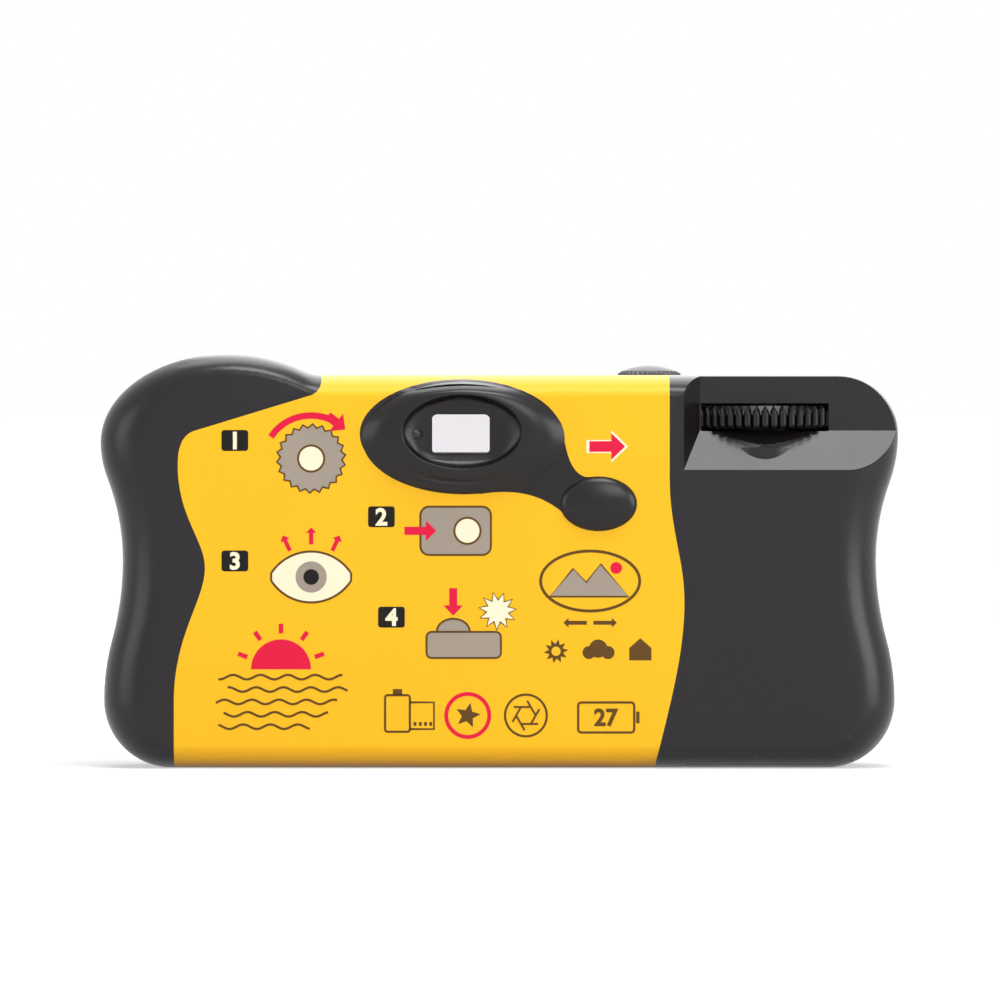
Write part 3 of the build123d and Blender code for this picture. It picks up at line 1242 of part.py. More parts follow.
# Metering lever: its nose reads the cam, its long arm locks the thumbwheel
with BuildPart() as metering_lever:
    with BuildSketch(Plane.XY.offset(METER_Z)):
        with Locations((METER_X, METER_Y)):
            Circle(HUB_R)
        with BuildLine():
            Polyline(METER_NOSE, (METER_X, METER_Y), METER_BEND, METER_TIP)
        trace(line_width=METER_W)
        with Locations(METER_TIP, METER_BEND):
            Circle(METER_W / 2)
        with Locations((METER_X, METER_Y)):
            Circle(PIVOT_R + RUN_FIT, mode=Mode.SUBTRACT)
    extrude(amount=METER_T)
metering_lever.part.label = "metering_lever"
export_step(metering_lever.part, "parts/metering_lever.step")

# Sprocket wheel with its shaft
with BuildPart() as sprocket_wheel:
    post(SPROCKET_X, SPROCKET_Y, (SHELF_Z, COUNTER_Z + COUNTER_T), STUB_R)
    post(SPROCKET_X, SPROCKET_Y, (SHELF_Z + SHELF_T + RUN_FIT, CAM_Z), SHAFT_R)
    post(SPROCKET_X, SPROCKET_Y, (drum_z - DRUM_T / 2, drum_z + DRUM_T / 2), DRUM_R)
    with BuildSketch(Plane.XY.offset(drum_z - TOOTH_R)):
        with Locations((SPROCKET_X, SPROCKET_Y)):
            with PolarLocations(DRUM_R - TOOTH_OUT, SPROCKET_TEETH):
                Polygon(
                    (0, -TOOTH_R),
                    (SPROCKET_R - DRUM_R + 2 * TOOTH_OUT, -TOOTH_TIP_R),
                    (SPROCKET_R - DRUM_R + 2 * TOOTH_OUT, TOOTH_TIP_R),
                    (0, TOOTH_R),
                    align=None,
                )
    extrude(amount=2 * TOOTH_R)
sprocket_wheel.part.label = "sprocket_wheel"
export_step(sprocket_wheel.part, "parts/sprocket_wheel.step")

# Metering cam on the sprocket shaft, and the finger that steps the counter
with BuildPart() as drive_cam:
    post(SPROCKET_X, SPROCKET_Y, (CAM_Z, CAM_Z + CAM_T), CAM_R)
    post(SPROCKET_X, SPROCKET_Y, (CAM_Z, CAM_Z + CAM_T), STUB_R, mode=Mode.SUBTRACT)
    notch_x, notch_y = METER_NOSE[0] - SPROCKET_X, METER_NOSE[1] - SPROCKET_Y
    notch_share = CAM_R / sqrt(notch_x**2 + notch_y**2)
    post(
        SPROCKET_X + notch_x * notch_share,
        SPROCKET_Y + notch_y * notch_share,
        (CAM_Z, CAM_Z + CAM_T),
        CAM_NOTCH_R,
        mode=Mode.SUBTRACT,
    )
drive_cam.part.label = "drive_cam"
export_step(drive_cam.part, "parts/drive_cam.step")

counter_reach = sqrt((SPROCKET_X - COUNTER_X) ** 2 + (SPROCKET_Y - COUNTER_Y) ** 2)
with BuildPart() as counter_finger:
    with BuildSketch(Plane.XY.offset(COUNTER_Z)):
        with Locations((SPROCKET_X, SPROCKET_Y)):
            Circle(HUB_R)
        with BuildLine():
            Line((SPROCKET_X, SPROCKET_Y), (SPROCKET_X, SPROCKET_Y - counter_reach + COUNTER_R + FINGER_GAP))
        trace(line_width=FINGER_W)
        with Locations((SPROCKET_X, SPROCKET_Y)):
            Circle(STUB_R, mode=Mode.SUBTRACT)
    extrude(amount=COUNTER_T)
counter_finger.part.label = "counter_finger"
export_step(counter_finger.part, "parts/counter_finger.step")

# Plate over the mechanism: it bears the cam shaft, guides the button and carries the counter
with BuildPart() as mechanism_plate:
    block(MECH_X, MECH_Y, (MECH_Z, MECH_Z + MECH_T))
    post(SPROCKET_X, SPROCKET_Y, (MECH_Z, MECH_Z + MECH_T), STUB_R + RUN_FIT, mode=Mode.SUBTRACT)
    post(BUTTON_X, BUTTON_Y, (MECH_Z, MECH_Z + MECH_T), STEM_R + RUN_FIT, mode=Mode.SUBTRACT)
    post(COUNTER_X, COUNTER_Y, (MECH_Z + MECH_T, COUNTER_Z - RUN_FIT), SHOULDER_R)
    post(COUNTER_X, COUNTER_Y, (MECH_Z + MECH_T, COUNTER_Z + COUNTER_T + RUN_FIT), PIVOT_R)
mechanism_plate.part.label = "mechanism_plate"
export_step(mechanism_plate.part, "parts/mechanism_plate.step")


def toothed(radius, depth, teeth):
    """Closed ring of pointed teeth about the origin, as points."""
    points = []
    for step in range(2 * teeth):
        angle = radians(2 * QUARTER * step / teeth)
        reach = radius - depth * (step % 2)
        points.append((reach * cos(angle), reach * sin(angle)))
    return points


# Frame counter disc
with BuildPart() as counter_wheel:
    with BuildSketch(Plane.XY.offset(COUNTER_Z)):
        with Locations((COUNTER_X, COUNTER_Y)):
            Polygon(*toothed(COUNTER_R, COUNTER_TOOTH, COUNTER_TEETH), align=None)
            Circle(PIVOT_R + RUN_FIT, mode=Mode.SUBTRACT)
    extrude(amount=COUNTER_T)
counter_wheel.part.label = "counter_wheel"
export_step(counter_wheel.part, "parts/counter_wheel.step")

# Clear window over the counter
with BuildPart() as counter_window:
    with BuildSketch(Plane.XY.offset(TOP_Z - COUNTER_WINDOW_T)):
        with Locations((COUNTER_WINDOW_X, COUNTER_Y)):
            RectangleRounded(2 * COUNTER_WINDOW_HALF, 2 * COUNTER_WINDOW_HALF, COUNTER_WINDOW_R)
    extrude(amount=COUNTER_WINDOW_T)
counter_window.part.label = "counter_window"
export_step(counter_window.part, "parts/counter_window.step")

# Shutter button: domed cap, flange under the cover, and stem
with BuildPart() as shutter_button:
    post(BUTTON_X, BUTTON_Y, (TOP_IN - BUTTON_DROP, TOP_Z + BUTTON_DOME + OVER), BUTTON_R)
    with Locations((BUTTON_X, BUTTON_Y, TOP_Z + BUTTON_DOME - BUTTON_CROWN_R)):
        Sphere(BUTTON_CROWN_R, mode=Mode.INTERSECT)
    under_z = TOP_IN - BUTTON_DROP
    post(BUTTON_X, BUTTON_Y, (under_z - BUTTON_FLANGE_T, under_z), BUTTON_R + BUTTON_FLANGE)
    post(BUTTON_X, BUTTON_Y, (KICK_Z + KICK_T + BUTTON_TRAVEL, under_z), STEM_R)
shutter_button.part.label = "shutter_button"
export_step(shutter_button.part, "parts/shutter_button.step")

# Thumbwheel: serrated rim with bevelled edges, hub down to the cassette and a key in it
with BuildPart() as thumbwheel:
    for z, radius in (
        (WHEEL_Z, WHEEL_R - WHEEL_EDGE),
        (WHEEL_Z + WHEEL_EDGE, WHEEL_R),
        (WHEEL_TOP - WHEEL_EDGE, WHEEL_R),
        (WHEEL_TOP, WHEEL_R - WHEEL_EDGE),
    ):
        with BuildSketch(Plane.XY.offset(z)):
            with Locations((CASSETTE_X, CASSETTE_Y)):
                Polygon(*toothed(radius, WHEEL_TOOTH, WHEEL_TEETH), align=None)
    loft(ruled=True)
    post(CASSETTE_X, CASSETTE_Y, (DECK_Z + FINGER_GAP, WHEEL_Z), HUB_WHEEL_R)
    post(CASSETTE_X, CASSETTE_Y, (WHEEL_TOP, TOP_IN - FINGER_GAP), WHEEL_BOSS_R)
    post(CASSETTE_X, CASSETTE_Y, (DECK_Z, CASSETTE_TOP + KNOB_OUT + GAP), KNOB_R + GAP, mode=Mode.SUBTRACT)
    block(
        (CASSETTE_X - KNOB_R, CASSETTE_X + KNOB_R),
        (CASSETTE_Y - KEY_T / 2, CASSETTE_Y + KEY_T / 2),
        (CASSETTE_TOP + KNOB_OUT + GAP - KEY_DEPTH, CASSETTE_TOP + KNOB_OUT + GAP),
    )
thumbwheel.part.label = "thumbwheel"
export_step(thumbwheel.part, "parts/thumbwheel.step")

# Film cassette: steel shell with a plush-lined mouth, two caps, and the spool with its knob
MOUTH_REAR = FILM_Y - LIP_GAP
MOUTH_FRONT = FILM_Y + LIP_GAP
LIP_JOIN_X = CASSETTE_X - sqrt(CASSETTE_R**2 - (MOUTH_REAR - LIP_T - CASSETTE_Y) ** 2)
with BuildPart() as cassette_shell:
    shell_z = (CASSETTE_BASE + CAP_T, CASSETTE_TOP - CAP_T)
    post(CASSETTE_X, CASSETTE_Y, shell_z, CASSETTE_R)
    block((LIP_LEFT, LIP_JOIN_X + LIP_T), (MOUTH_REAR - LIP_T, MOUTH_FRONT + LIP_T), shell_z)
    post(CASSETTE_X, CASSETTE_Y, shell_z, CASSETTE_R - SHELL_T, mode=Mode.SUBTRACT)
    block((LIP_LEFT, CASSETTE_X - SPOOL_R), (MOUTH_REAR, MOUTH_FRONT), shell_z, mode=Mode.SUBTRACT)
cassette_shell.part.label = "cassette_shell"
export_step(cassette_shell.part, "parts/cassette_shell.step")

with BuildPart() as cassette_cap_top:
    post(CASSETTE_X, CASSETTE_Y, (CASSETTE_TOP - CAP_T, CASSETTE_TOP), CASSETTE_R)
    post(CASSETTE_X, CASSETTE_Y, (CASSETTE_TOP - CAP_T, CASSETTE_TOP), KNOB_R + LOOSE, mode=Mode.SUBTRACT)
cassette_cap_top.part.label = "cassette_cap_top"
export_step(cassette_cap_top.part, "parts/cassette_cap_top.step")

with BuildPart() as cassette_cap_bottom:
    post(CASSETTE_X, CASSETTE_Y, (CASSETTE_BASE, CASSETTE_BASE + CAP_T), CASSETTE_R)
    post(CASSETTE_X, CASSETTE_Y, (CASSETTE_BASE, CASSETTE_BASE + CAP_T), KNOB_R + LOOSE, mode=Mode.SUBTRACT)
cassette_cap_bottom.part.label = "cassette_cap_bottom"
export_step(cassette_cap_bottom.part, "parts/cassette_cap_bottom.step")

with BuildPart() as cassette_spool:
    post(CASSETTE_X, CASSETTE_Y, (CASSETTE_BASE + CAP_T + GAP, CASSETTE_TOP - CAP_T - GAP), SPOOL_R)
    post(CASSETTE_X, CASSETTE_Y, (CASSETTE_BASE, CASSETTE_TOP + KNOB_OUT), KNOB_R)
    post(
        CASSETTE_X,
        CASSETTE_Y,
        (FILM_Z - FILM_WIDTH / 2, FILM_Z + FILM_WIDTH / 2),
        CASSETTE_FILM_R,
    )
    block(
        (CASSETTE_X - KNOB_R, CASSETTE_X + KNOB_R),
        (CASSETTE_Y - KNOB_SLOT / 2, CASSETTE_Y + KNOB_SLOT / 2),
        (CASSETTE_TOP + KNOB_OUT - KEY_DEPTH, CASSETTE_TOP + KNOB_OUT),
        mode=Mode.SUBTRACT,
    )
cassette_spool.part.label = "cassette_spool"
export_step(cassette_spool.part, "parts/cassette_spool.step")

# Supply spool with its two flanges, and the roll of film on it
with BuildPart() as supply_spool:
    post(SUPPLY_X, SUPPLY_Y, (FILM_Z - supply_half - CHAMBER_T, FILM_Z + supply_half + CHAMBER_T), PIN_R)
    post(SUPPLY_X, SUPPLY_Y, (FILM_Z - FILM_WIDTH / 2 - LOOSE, FILM_Z + FILM_WIDTH / 2 + LOOSE), CORE_R)
    for side in (-1, 1):
        post(
            SUPPLY_X,
            SUPPLY_Y,
            (FILM_Z + side * (FILM_WIDTH / 2 + LOOSE), FILM_Z + side * (FILM_WIDTH / 2 + LOOSE + FLANGE_T)),
            FLANGE_R,
        )
supply_spool.part.label = "supply_spool"
export_step(supply_spool.part, "parts/supply_spool.step")

with BuildPart() as film_roll:
    roll_z = (FILM_Z - FILM_WIDTH / 2, FILM_Z + FILM_WIDTH / 2)
    post(SUPPLY_X, SUPPLY_Y, roll_z, ROLL_R - FILM_T)
    post(SUPPLY_X, SUPPLY_Y, roll_z, CORE_R, mode=Mode.SUBTRACT)
film_roll.part.label = "film_roll"
export_step(film_roll.part, "parts/film_roll.step")

# Film across the gate, with its perforations
PERF_COUNT_LEFT = 11
PERF_COUNT_RIGHT = 1
with BuildPart() as film_strip:
    block(
        (SUPPLY_X, LIP_JOIN_X + LIP_T),
        (FILM_Y - FILM_T / 2, FILM_Y + FILM_T / 2),
        (FILM_Z - FILM_WIDTH / 2, FILM_Z + FILM_WIDTH / 2),
    )
    for row in (-1, 1):
        for hole in range(-PERF_COUNT_LEFT, PERF_COUNT_RIGHT + 1):
            perf_x = SPROCKET_X + hole * PERF_PITCH
            perf_z = FILM_Z + row * PERF_ROW
            block(
                (perf_x - PERF_X / 2, perf_x + PERF_X / 2),
                (FILM_Y - FILM_T, FILM_Y + FILM_T),
                (perf_z - PERF_Z / 2, perf_z + PERF_Z / 2),
                mode=Mode.SUBTRACT,
            )
film_strip.part.label = "film_strip"
export_step(film_strip.part, "parts/film_strip.step")

# Anti-reverse pawl, a bent strip beside the thumbwheel's teeth
with BuildPart() as backup_pawl:
    with BuildSketch(Plane.XY.offset(PAWL_Z[0])):
        with BuildLine():
            Polyline(PAWL_POST, PAWL_BEND, PAWL_TIP)
        trace(line_width=PAWL_T)
        with Locations(PAWL_POST):
            Circle(PIVOT_R)
    extrude(amount=PAWL_Z[1] - PAWL_Z[0])
backup_pawl.part.label = "backup_pawl"
export_step(backup_pawl.part, "parts/backup_pawl.step")

# Sync contacts of the flash, two strips on the shutter's plate
with BuildPart() as sync_contacts:
    for strip_x in (SYNC_X, SYNC_X + 2 * SYNC_W):
        block(
            (strip_x, strip_x + SYNC_W),
            (TUNNEL_FRONT + TUNNEL_T, TUNNEL_FRONT + TUNNEL_T + SYNC_T),
            SYNC_Z,
        )
sync_contacts.part.label = "sync_contacts"
export_step(sync_contacts.part, "parts/sync_contacts.step")
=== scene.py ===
import bmesh
import bpy
import numpy as np
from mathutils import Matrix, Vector


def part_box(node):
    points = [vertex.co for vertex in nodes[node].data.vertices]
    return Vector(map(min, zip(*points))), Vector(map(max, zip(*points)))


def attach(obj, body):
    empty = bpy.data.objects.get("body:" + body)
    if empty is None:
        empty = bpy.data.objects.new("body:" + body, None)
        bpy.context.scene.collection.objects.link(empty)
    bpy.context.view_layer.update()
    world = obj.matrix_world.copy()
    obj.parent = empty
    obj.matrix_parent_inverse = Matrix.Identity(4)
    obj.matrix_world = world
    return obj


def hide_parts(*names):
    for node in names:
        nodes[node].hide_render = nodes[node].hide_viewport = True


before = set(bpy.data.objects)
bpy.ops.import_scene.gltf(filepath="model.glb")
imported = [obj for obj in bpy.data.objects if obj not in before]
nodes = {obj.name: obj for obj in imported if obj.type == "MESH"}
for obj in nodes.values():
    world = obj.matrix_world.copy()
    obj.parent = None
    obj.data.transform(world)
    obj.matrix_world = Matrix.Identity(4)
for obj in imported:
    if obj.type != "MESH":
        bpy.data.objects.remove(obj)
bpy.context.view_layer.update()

MM = 0.001
MICRON = 0.000001
QUARTER = np.pi / 2
WHOLE = 2 * np.pi

# Places shared with the solids, in millimetres: X right, Y forward, Z up, seen from the rear
REAR = -16.0
FRONT = 15.0
EYE = (-5.9, 51.3)
READY = (-13.0, 51.3)
BUMP = (15.2, 40.6)
FLASH = (-43.0, 50.6)
CHARGE = (-38.0, 22.0)
WHEEL = (40.8, -1.2)
RIM_LOW = 52.1
RIM_HIGH = 55.6
SHUTTER = (23.2, 5.4)
COUNTER = (8.6, 4.0)

# The picture in pixels: its width, its scale, and the column and row of the middle of the object's foot
FRAME_PIXELS = 1000
PIXELS_PER_MM = 6.5
MIDDLE_COLUMN = 499.5
FOOT_ROW = 767

# Degrees from which an edge stays crisp on a smooth piece
SKIN_CREASE = 38
RIB_CREASE = 48
CAP_CREASE = 50


# Shader nodes

MIX_LOW, MIX_HIGH, MIX_RESULT = 6, 7, 2
PATCH_DETAIL = 4
GRAIN_DETAIL = 3
GRAIN_STRENGTH = 0.5
ROUGH_SHIFT = 0.15
LEAST_ROUGH = 0.02
COAT_ROUGH = 0.12


def tone(red, green, blue):
    """A screen colour from 0 to 255 as linear red, green and blue, by the standard screen curve."""
    share = np.array([red, green, blue]) / 255
    return np.where(share <= 0.04045, share / 12.92, ((share + 0.055) / 1.055) ** 2.4)


def add(tree, kind, **settings):
    """A new shader node of a kind, with its settings."""
    node = tree.nodes.new("ShaderNode" + kind)
    for name, value in settings.items():
        setattr(node, name, value)
    return node


def noise(tree, place, scale, detail):
    """The value of a cloudy noise at a place."""
    cloud = add(tree, "TexNoise")
    cloud.inputs["Scale"].default_value = scale
    cloud.inputs["Detail"].default_value = detail
    tree.links.new(place, cloud.inputs["Vector"])
    return cloud.outputs["Fac"]


def ramp(tree, value, source, result):
    """A value carried from one range to another in a straight line, and held at its ends."""
    carried = add(tree, "MapRange")
    for name, limit in zip(("From Min", "From Max", "To Min", "To Max"), (*source, *result)):
        carried.inputs[name].default_value = limit
    tree.links.new(value, carried.inputs["Value"])
    return carried.outputs["Result"]


def mixed(tree, share, low, high):
    """Two colours mixed by a share: each is a linear colour or the output of another node."""
    mix = add(tree, "Mix", data_type="RGBA")
    tree.links.new(share, mix.inputs["Factor"])
    for socket, colour in ((MIX_LOW, low), (MIX_HIGH, high)):
        if isinstance(colour, np.ndarray):
            mix.inputs[socket].default_value = (*colour, 1.0)
        else:
            tree.links.new(colour, mix.inputs[socket])
    return mix.outputs[MIX_RESULT]


def moulded(
    name,
    colour,
    rough,
    patch=90.0,
    shade=0.12,
    grain=0.0,
    depth=0.0,
    metal=0.0,
    coat=0.0,
    clear=0.0,
    ior=1.5,
    shine=0.5,
    stretch=(1, 1, 1),
):
    """A surface whose slow patches shift its colour and roughness, with a fine grain some microns deep.

    The colour is multiplied by 1 less the shade up to 1 plus the shade, and the roughness by 0.85 up to 1.15,
    both in step with one noise on the piece's own coordinates.
    """
    material = bpy.data.materials.new(name)
    material.use_nodes = True
    tree = material.node_tree
    shader = tree.nodes["Principled BSDF"]
    mapping = add(tree, "Mapping")
    mapping.inputs["Scale"].default_value = stretch
    tree.links.new(add(tree, "TexCoord").outputs["Object"], mapping.inputs["Vector"])
    place = mapping.outputs["Vector"]

    slow = noise(tree, place, patch, PATCH_DETAIL)
    middle = tone(*colour)
    shades = middle * (1 - shade), np.minimum(1.0, middle * (1 + shade))
    tree.links.new(mixed(tree, slow, *shades), shader.inputs["Base Color"])
    spread = max(LEAST_ROUGH, rough * (1 - ROUGH_SHIFT)), min(1.0, rough * (1 + ROUGH_SHIFT))
    tree.links.new(ramp(tree, slow, (0, 1), spread), shader.inputs["Roughness"])

    if grain:
        bump = add(tree, "Bump")
        bump.inputs["Strength"].default_value = GRAIN_STRENGTH
        bump.inputs["Distance"].default_value = depth * MICRON
        tree.links.new(noise(tree, place, grain, GRAIN_DETAIL), bump.inputs["Height"])
        tree.links.new(bump.outputs["Normal"], shader.inputs["Normal"])

    constants = {
        "Metallic": metal,
        "Coat Weight": coat,
        "Coat Roughness": COAT_ROUGH,
        "Transmission Weight": clear,
        "IOR": ior,
        "Specular IOR Level": shine,
    }
    for socket, value in constants.items():
        shader.inputs[socket].default_value = value
    return material


def paler_convex_edges(material, colour, start, end):
    """Mixes a paler colour in where the surface is convex; on the thumbwheel this is a painted highlight
    along its rib edges.
    """
    tree = material.node_tree
    base = tree.nodes["Principled BSDF"].inputs["Base Color"]
    convex = add(tree, "NewGeometry").outputs["Pointiness"]
    paler_share = ramp(tree, convex, (start, end), (0, 1))
    tree.links.new(mixed(tree, paler_share, base.links[0].from_socket, tone(*colour)), base)


# Moulded plastics, with the grain of the mould

cover_black = moulded("cover_black", (24, 20, 24), 0.29, shade=0.1, grain=3800, depth=30, shine=0.36)
wheel_black = moulded("wheel_black", (6, 5, 7), 0.34, shade=0.15, grain=5200, depth=20, shine=0.32)
eye_black = moulded("eyepiece_black", (20, 16, 18), 0.28, shade=0.08, grain=4200, depth=20, shine=0.34)
bezel_black = moulded("bezel_black", (24, 22, 24), 0.26, shade=0.1, grain=2600, depth=10, coat=0.1, shine=0.4)
button_black = moulded("button_black", (52, 50, 56), 0.38, shade=0.1, grain=4500, depth=20, shine=0.7)
inner_black = moulded("inner_black", (24, 23, 24), 0.7, shade=0.2, grain=3000, depth=40)
white_plastic = moulded("white_plastic", (228, 226, 218), 0.45, shade=0.04, grain=3000, depth=20)
lever_grey = moulded("lever_grey", (150, 150, 154), 0.45, shade=0.06, grain=3000, depth=20)
# The covers' convex edges mixed towards a paler colour
paler_convex_edges(cover_black, (52, 47, 53), 0.58, 0.7)
# Painted highlight: the thumbwheel's convex rib edges mixed much paler than its dark body
paler_convex_edges(wheel_black, (64, 60, 66), 0.55, 0.7)


# Clear plastics and glass

clear_pane = moulded("clear_pane", (244, 248, 247), 0.06, shade=0.01, clear=1.0, ior=1.49)
finder_pane = moulded("finder_pane", (246, 244, 246), 0.03, shade=0.005, clear=1.0, ior=1.06)
tube_glass = moulded("tube_glass", (240, 244, 250), 0.05, shade=0.02, clear=0.9, ior=1.47)
lamp_glass = moulded("lamp_glass", (240, 150, 90), 0.1, shade=0.1, clear=0.7)
smoked_pane = moulded("smoked_pane", (36, 20, 20), 0.3, shade=0.1, clear=0.2)


# Metals

spring_steel = moulded(
    "spring_steel", (176, 174, 168), 0.3, shade=0.12, grain=700, depth=10, metal=1.0, stretch=(1, 9, 1)
)
mirror_foil = moulded("mirror_foil", (226, 228, 232), 0.14, shade=0.05, grain=500, depth=20, metal=1.0)
contact_brass = moulded("contact_brass", (214, 178, 96), 0.3, shade=0.15, grain=800, depth=10, metal=1.0)
coil_copper = moulded(
    "coil_copper",
    (178, 92, 46),
    0.32,
    patch=300,
    shade=0.2,
    grain=120,
    depth=200,
    metal=0.8,
    stretch=(1, 1, 40),
)


# Electric parts

board_green = moulded("board_green", (44, 96, 58), 0.35, patch=260, shade=0.25, grain=1500, depth=10)
ferrite_grey = moulded("ferrite_grey", (62, 62, 64), 0.6, patch=400, shade=0.25, grain=2500, depth=40)
chip_black = moulded("chip_black", (26, 26, 27), 0.5, patch=500, shade=0.2, grain=4000, depth=20)
sleeve_blue = moulded("sleeve_blue", (34, 42, 78), 0.3, shade=0.1, grain=600, depth=20, coat=0.3)
cell_paint = moulded("cell_paint", (52, 56, 64), 0.3, shade=0.1, grain=600, depth=10, metal=0.4, coat=0.3)


# Film and its cassette

film_brown = moulded("film_brown", (104, 62, 40), 0.2, shade=0.12, grain=400, depth=10, coat=0.3)
cassette_paint = moulded("cassette_paint", (214, 212, 204), 0.35, shade=0.06, grain=700, depth=10, coat=0.2)
cassette_black = moulded("cassette_black", (30, 30, 31), 0.35, shade=0.15, grain=900, depth=10, metal=0.3)


# Printed sleeve: its film and its inks

label_yellow = moulded(
    "label_yellow", (250, 190, 26), 0.42, patch=35, shade=0.03, grain=900, depth=10, shine=0.3
)
ink_black = moulded("ink_black", (16, 12, 9), 0.42, shade=0.08, grain=1500, depth=5, shine=0.2)
ink_brown = moulded("ink_brown", (96, 66, 26), 0.42, shade=0.08, grain=1500, depth=5, shine=0.2)
ink_grey = moulded("ink_grey", (158, 146, 132), 0.42, shade=0.06, grain=1500, depth=5)
ink_red = moulded("ink_red", (226, 24, 66), 0.4, shade=0.04, grain=1500, depth=5, shine=0.2)
ink_pale = moulded("ink_pale", (252, 238, 206), 0.42, shade=0.02, grain=1500, depth=5)
ink_orange = moulded("ink_orange", (238, 128, 34), 0.4, shade=0.04, grain=1500, depth=5)


# Which solids take which finish

DRESS = (
    (cover_black, "rear_cover", "front_cover", "cassette_door"),
    (label_yellow, "label_wrap"),
    (wheel_black, "thumbwheel"),
    (bezel_black, "lens_bezel"),
    (button_black, "shutter_button", "charge_button"),
    (finder_pane, "finder_rear_lens", "finder_front_lens"),
    (clear_pane, "flash_window", "counter_window", "taking_lens"),
    (smoked_pane, "light_pipe"),
    (lamp_glass, "ready_lamp"),
    (tube_glass, "flash_tube"),
    (mirror_foil, "flash_reflector"),
    (sleeve_blue, "flash_capacitor"),
    (inner_black, "finder_box", "main_frame", "light_tunnel", "mechanism_plate", "lens_holder"),
    (inner_black, "aperture_plate", "supply_spool", "cassette_spool"),
    (white_plastic, "counter_finger", "counter_wheel", "drive_cam", "sprocket_wheel"),
    (lever_grey, "kick_lever", "metering_lever"),
    (spring_steel, "shutter_blade", "backup_pawl"),
    (spring_steel, "charge_contact", "contact_negative", "contact_positive"),
    (contact_brass, "sync_contacts"),
    (board_green, "circuit_board"),
    (ferrite_grey, "transformer"),
    (chip_black, "transistor"),
    (coil_copper, "trigger_coil"),
    (cell_paint, "battery"),
    (cassette_paint, "cassette_shell"),
    (cassette_black, "cassette_cap_top", "cassette_cap_bottom"),
    (film_brown, "film_roll", "film_strip"),
)


def paint(solid, finish):
    """Gives every material slot of a solid one finish."""
    if not solid.material_slots:
        solid.data.materials.append(finish)
    for holder in solid.material_slots:
        holder.material = finish


for finish, *names in DRESS:
    for name in names:
        paint(nodes[name], finish)


# Surfaces

RING_COUNT = 96
POLE_WIDTH = 1e-7


def between(start, end, share):
    """A value at a share of the straight way from start to end."""
    return start + (end - start) * share


def rising(values, start, end):
    """How far values have come on the way from start to end, held at 0 and 1."""
    return np.clip((values - start) / (end - start), 0, 1)


def column(values, rows):
    """A value for each row, as a column; a plain number counts for every row."""
    return np.broadcast_to(values, rows)[:, None]


def piece(name, points, faces, body, finish, smooth=True, poles=False, sharp=None):
    """A mesh piece from points in millimetres, riding on a body.

    Where poles is set, rings of no width close to one point each. Sharp is the crease angle in degrees.
    """
    mesh = bpy.data.meshes.new(name)
    mesh.from_pydata(np.asarray(points, float) * MM, [], [list(f) for f in faces])
    if poles:
        bm = bmesh.new()
        bm.from_mesh(mesh)
        bmesh.ops.remove_doubles(bm, verts=bm.verts, dist=POLE_WIDTH)
        bm.to_mesh(mesh)
        bm.free()
    mesh.polygons.foreach_set("use_smooth", np.full(len(mesh.polygons), smooth))
    mesh.materials.append(finish)
    mesh.update()
    made = bpy.data.objects.new(name, mesh)
    bpy.context.scene.collection.objects.link(made)
    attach(made, body)
    if sharp:
        mesh.set_sharp_from_angle(angle=np.radians(sharp))
    return made


def net(rows, columns, around=True):
    """Four-cornered faces of a grid of points stored row by row, joined round each row if asked."""
    spans = columns if around else columns - 1
    row, place = np.meshgrid(np.arange(rows - 1), np.arange(spans), indexing="ij")
    after = (place + 1) % columns
    here, above = row * columns, (row + 1) * columns
    return np.stack([c.ravel() for c in (here + after, above + after, above + place, here + place)], 1)


def skin(name, grid, body, finish, around=True, poles=False, sharp=None):
    """A piece over a grid of points; seen from where it faces, rows rise while columns run to the right."""
    rows, columns = grid.shape[:2]
    faces = net(rows, columns, around)
    return piece(name, grid.reshape(-1, 3), faces, body, finish, poles=poles, sharp=sharp)


def flats(name, outlines, body, finish):
    """One piece of many flat faces, each a closed outline of its own points."""
    ends = np.cumsum([0] + [len(points) for points in outlines])
    faces = [range(start, end) for start, end in zip(ends[:-1], ends[1:])]
    return piece(name, np.vstack(outlines), faces, body, finish, smooth=False)


def oval_rings(centre, half_x, half_z, depth, power=2.0, count=RING_COUNT):
    """Rings in rows: half widths times cosine and sine raised to 2 over the power, with y at the depth."""
    angle = np.linspace(0, WHOLE, count, endpoint=False)[None, :]
    cosine, sine = np.cos(angle), np.sin(angle)
    rows = len(depth)
    raised = 2 / column(power, rows)
    x = column(centre[0], rows) + column(half_x, rows) * np.sign(cosine) * np.abs(cosine) ** raised
    z = column(centre[1], rows) + column(half_z, rows) * np.sign(sine) * np.abs(sine) ** raised
    return np.stack([x, np.broadcast_to(column(depth, rows), x.shape), z], 2)


def turned(reach, height, centre):
    """Points about an upright axis, from a table of radii with a row for each height."""
    angle = np.linspace(0, WHOLE, reach.shape[1], endpoint=False)[None, :]
    x, y = centre[0] + reach * np.cos(angle), centre[1] + reach * np.sin(angle)
    return np.stack([x, y, np.broadcast_to(height[:, None], x.shape)], 2)


def dome(name, centre, half_x, half_z, foot, height, steps, count, finish):
    """A dome to the rear: oval half widths times the cosine, and height times the sine, of a rising angle."""
    rise = np.linspace(0, QUARTER, steps)
    depth = foot - height * np.sin(rise)
    grid = oval_rings(centre, half_x * np.cos(rise), half_z * np.cos(rise), depth, count=count)
    return skin(name, grid, "camera", finish, poles=True)


# Smooth skins: the solids' own triangles, merged and shaded smoothly

MERGE = 0.000002


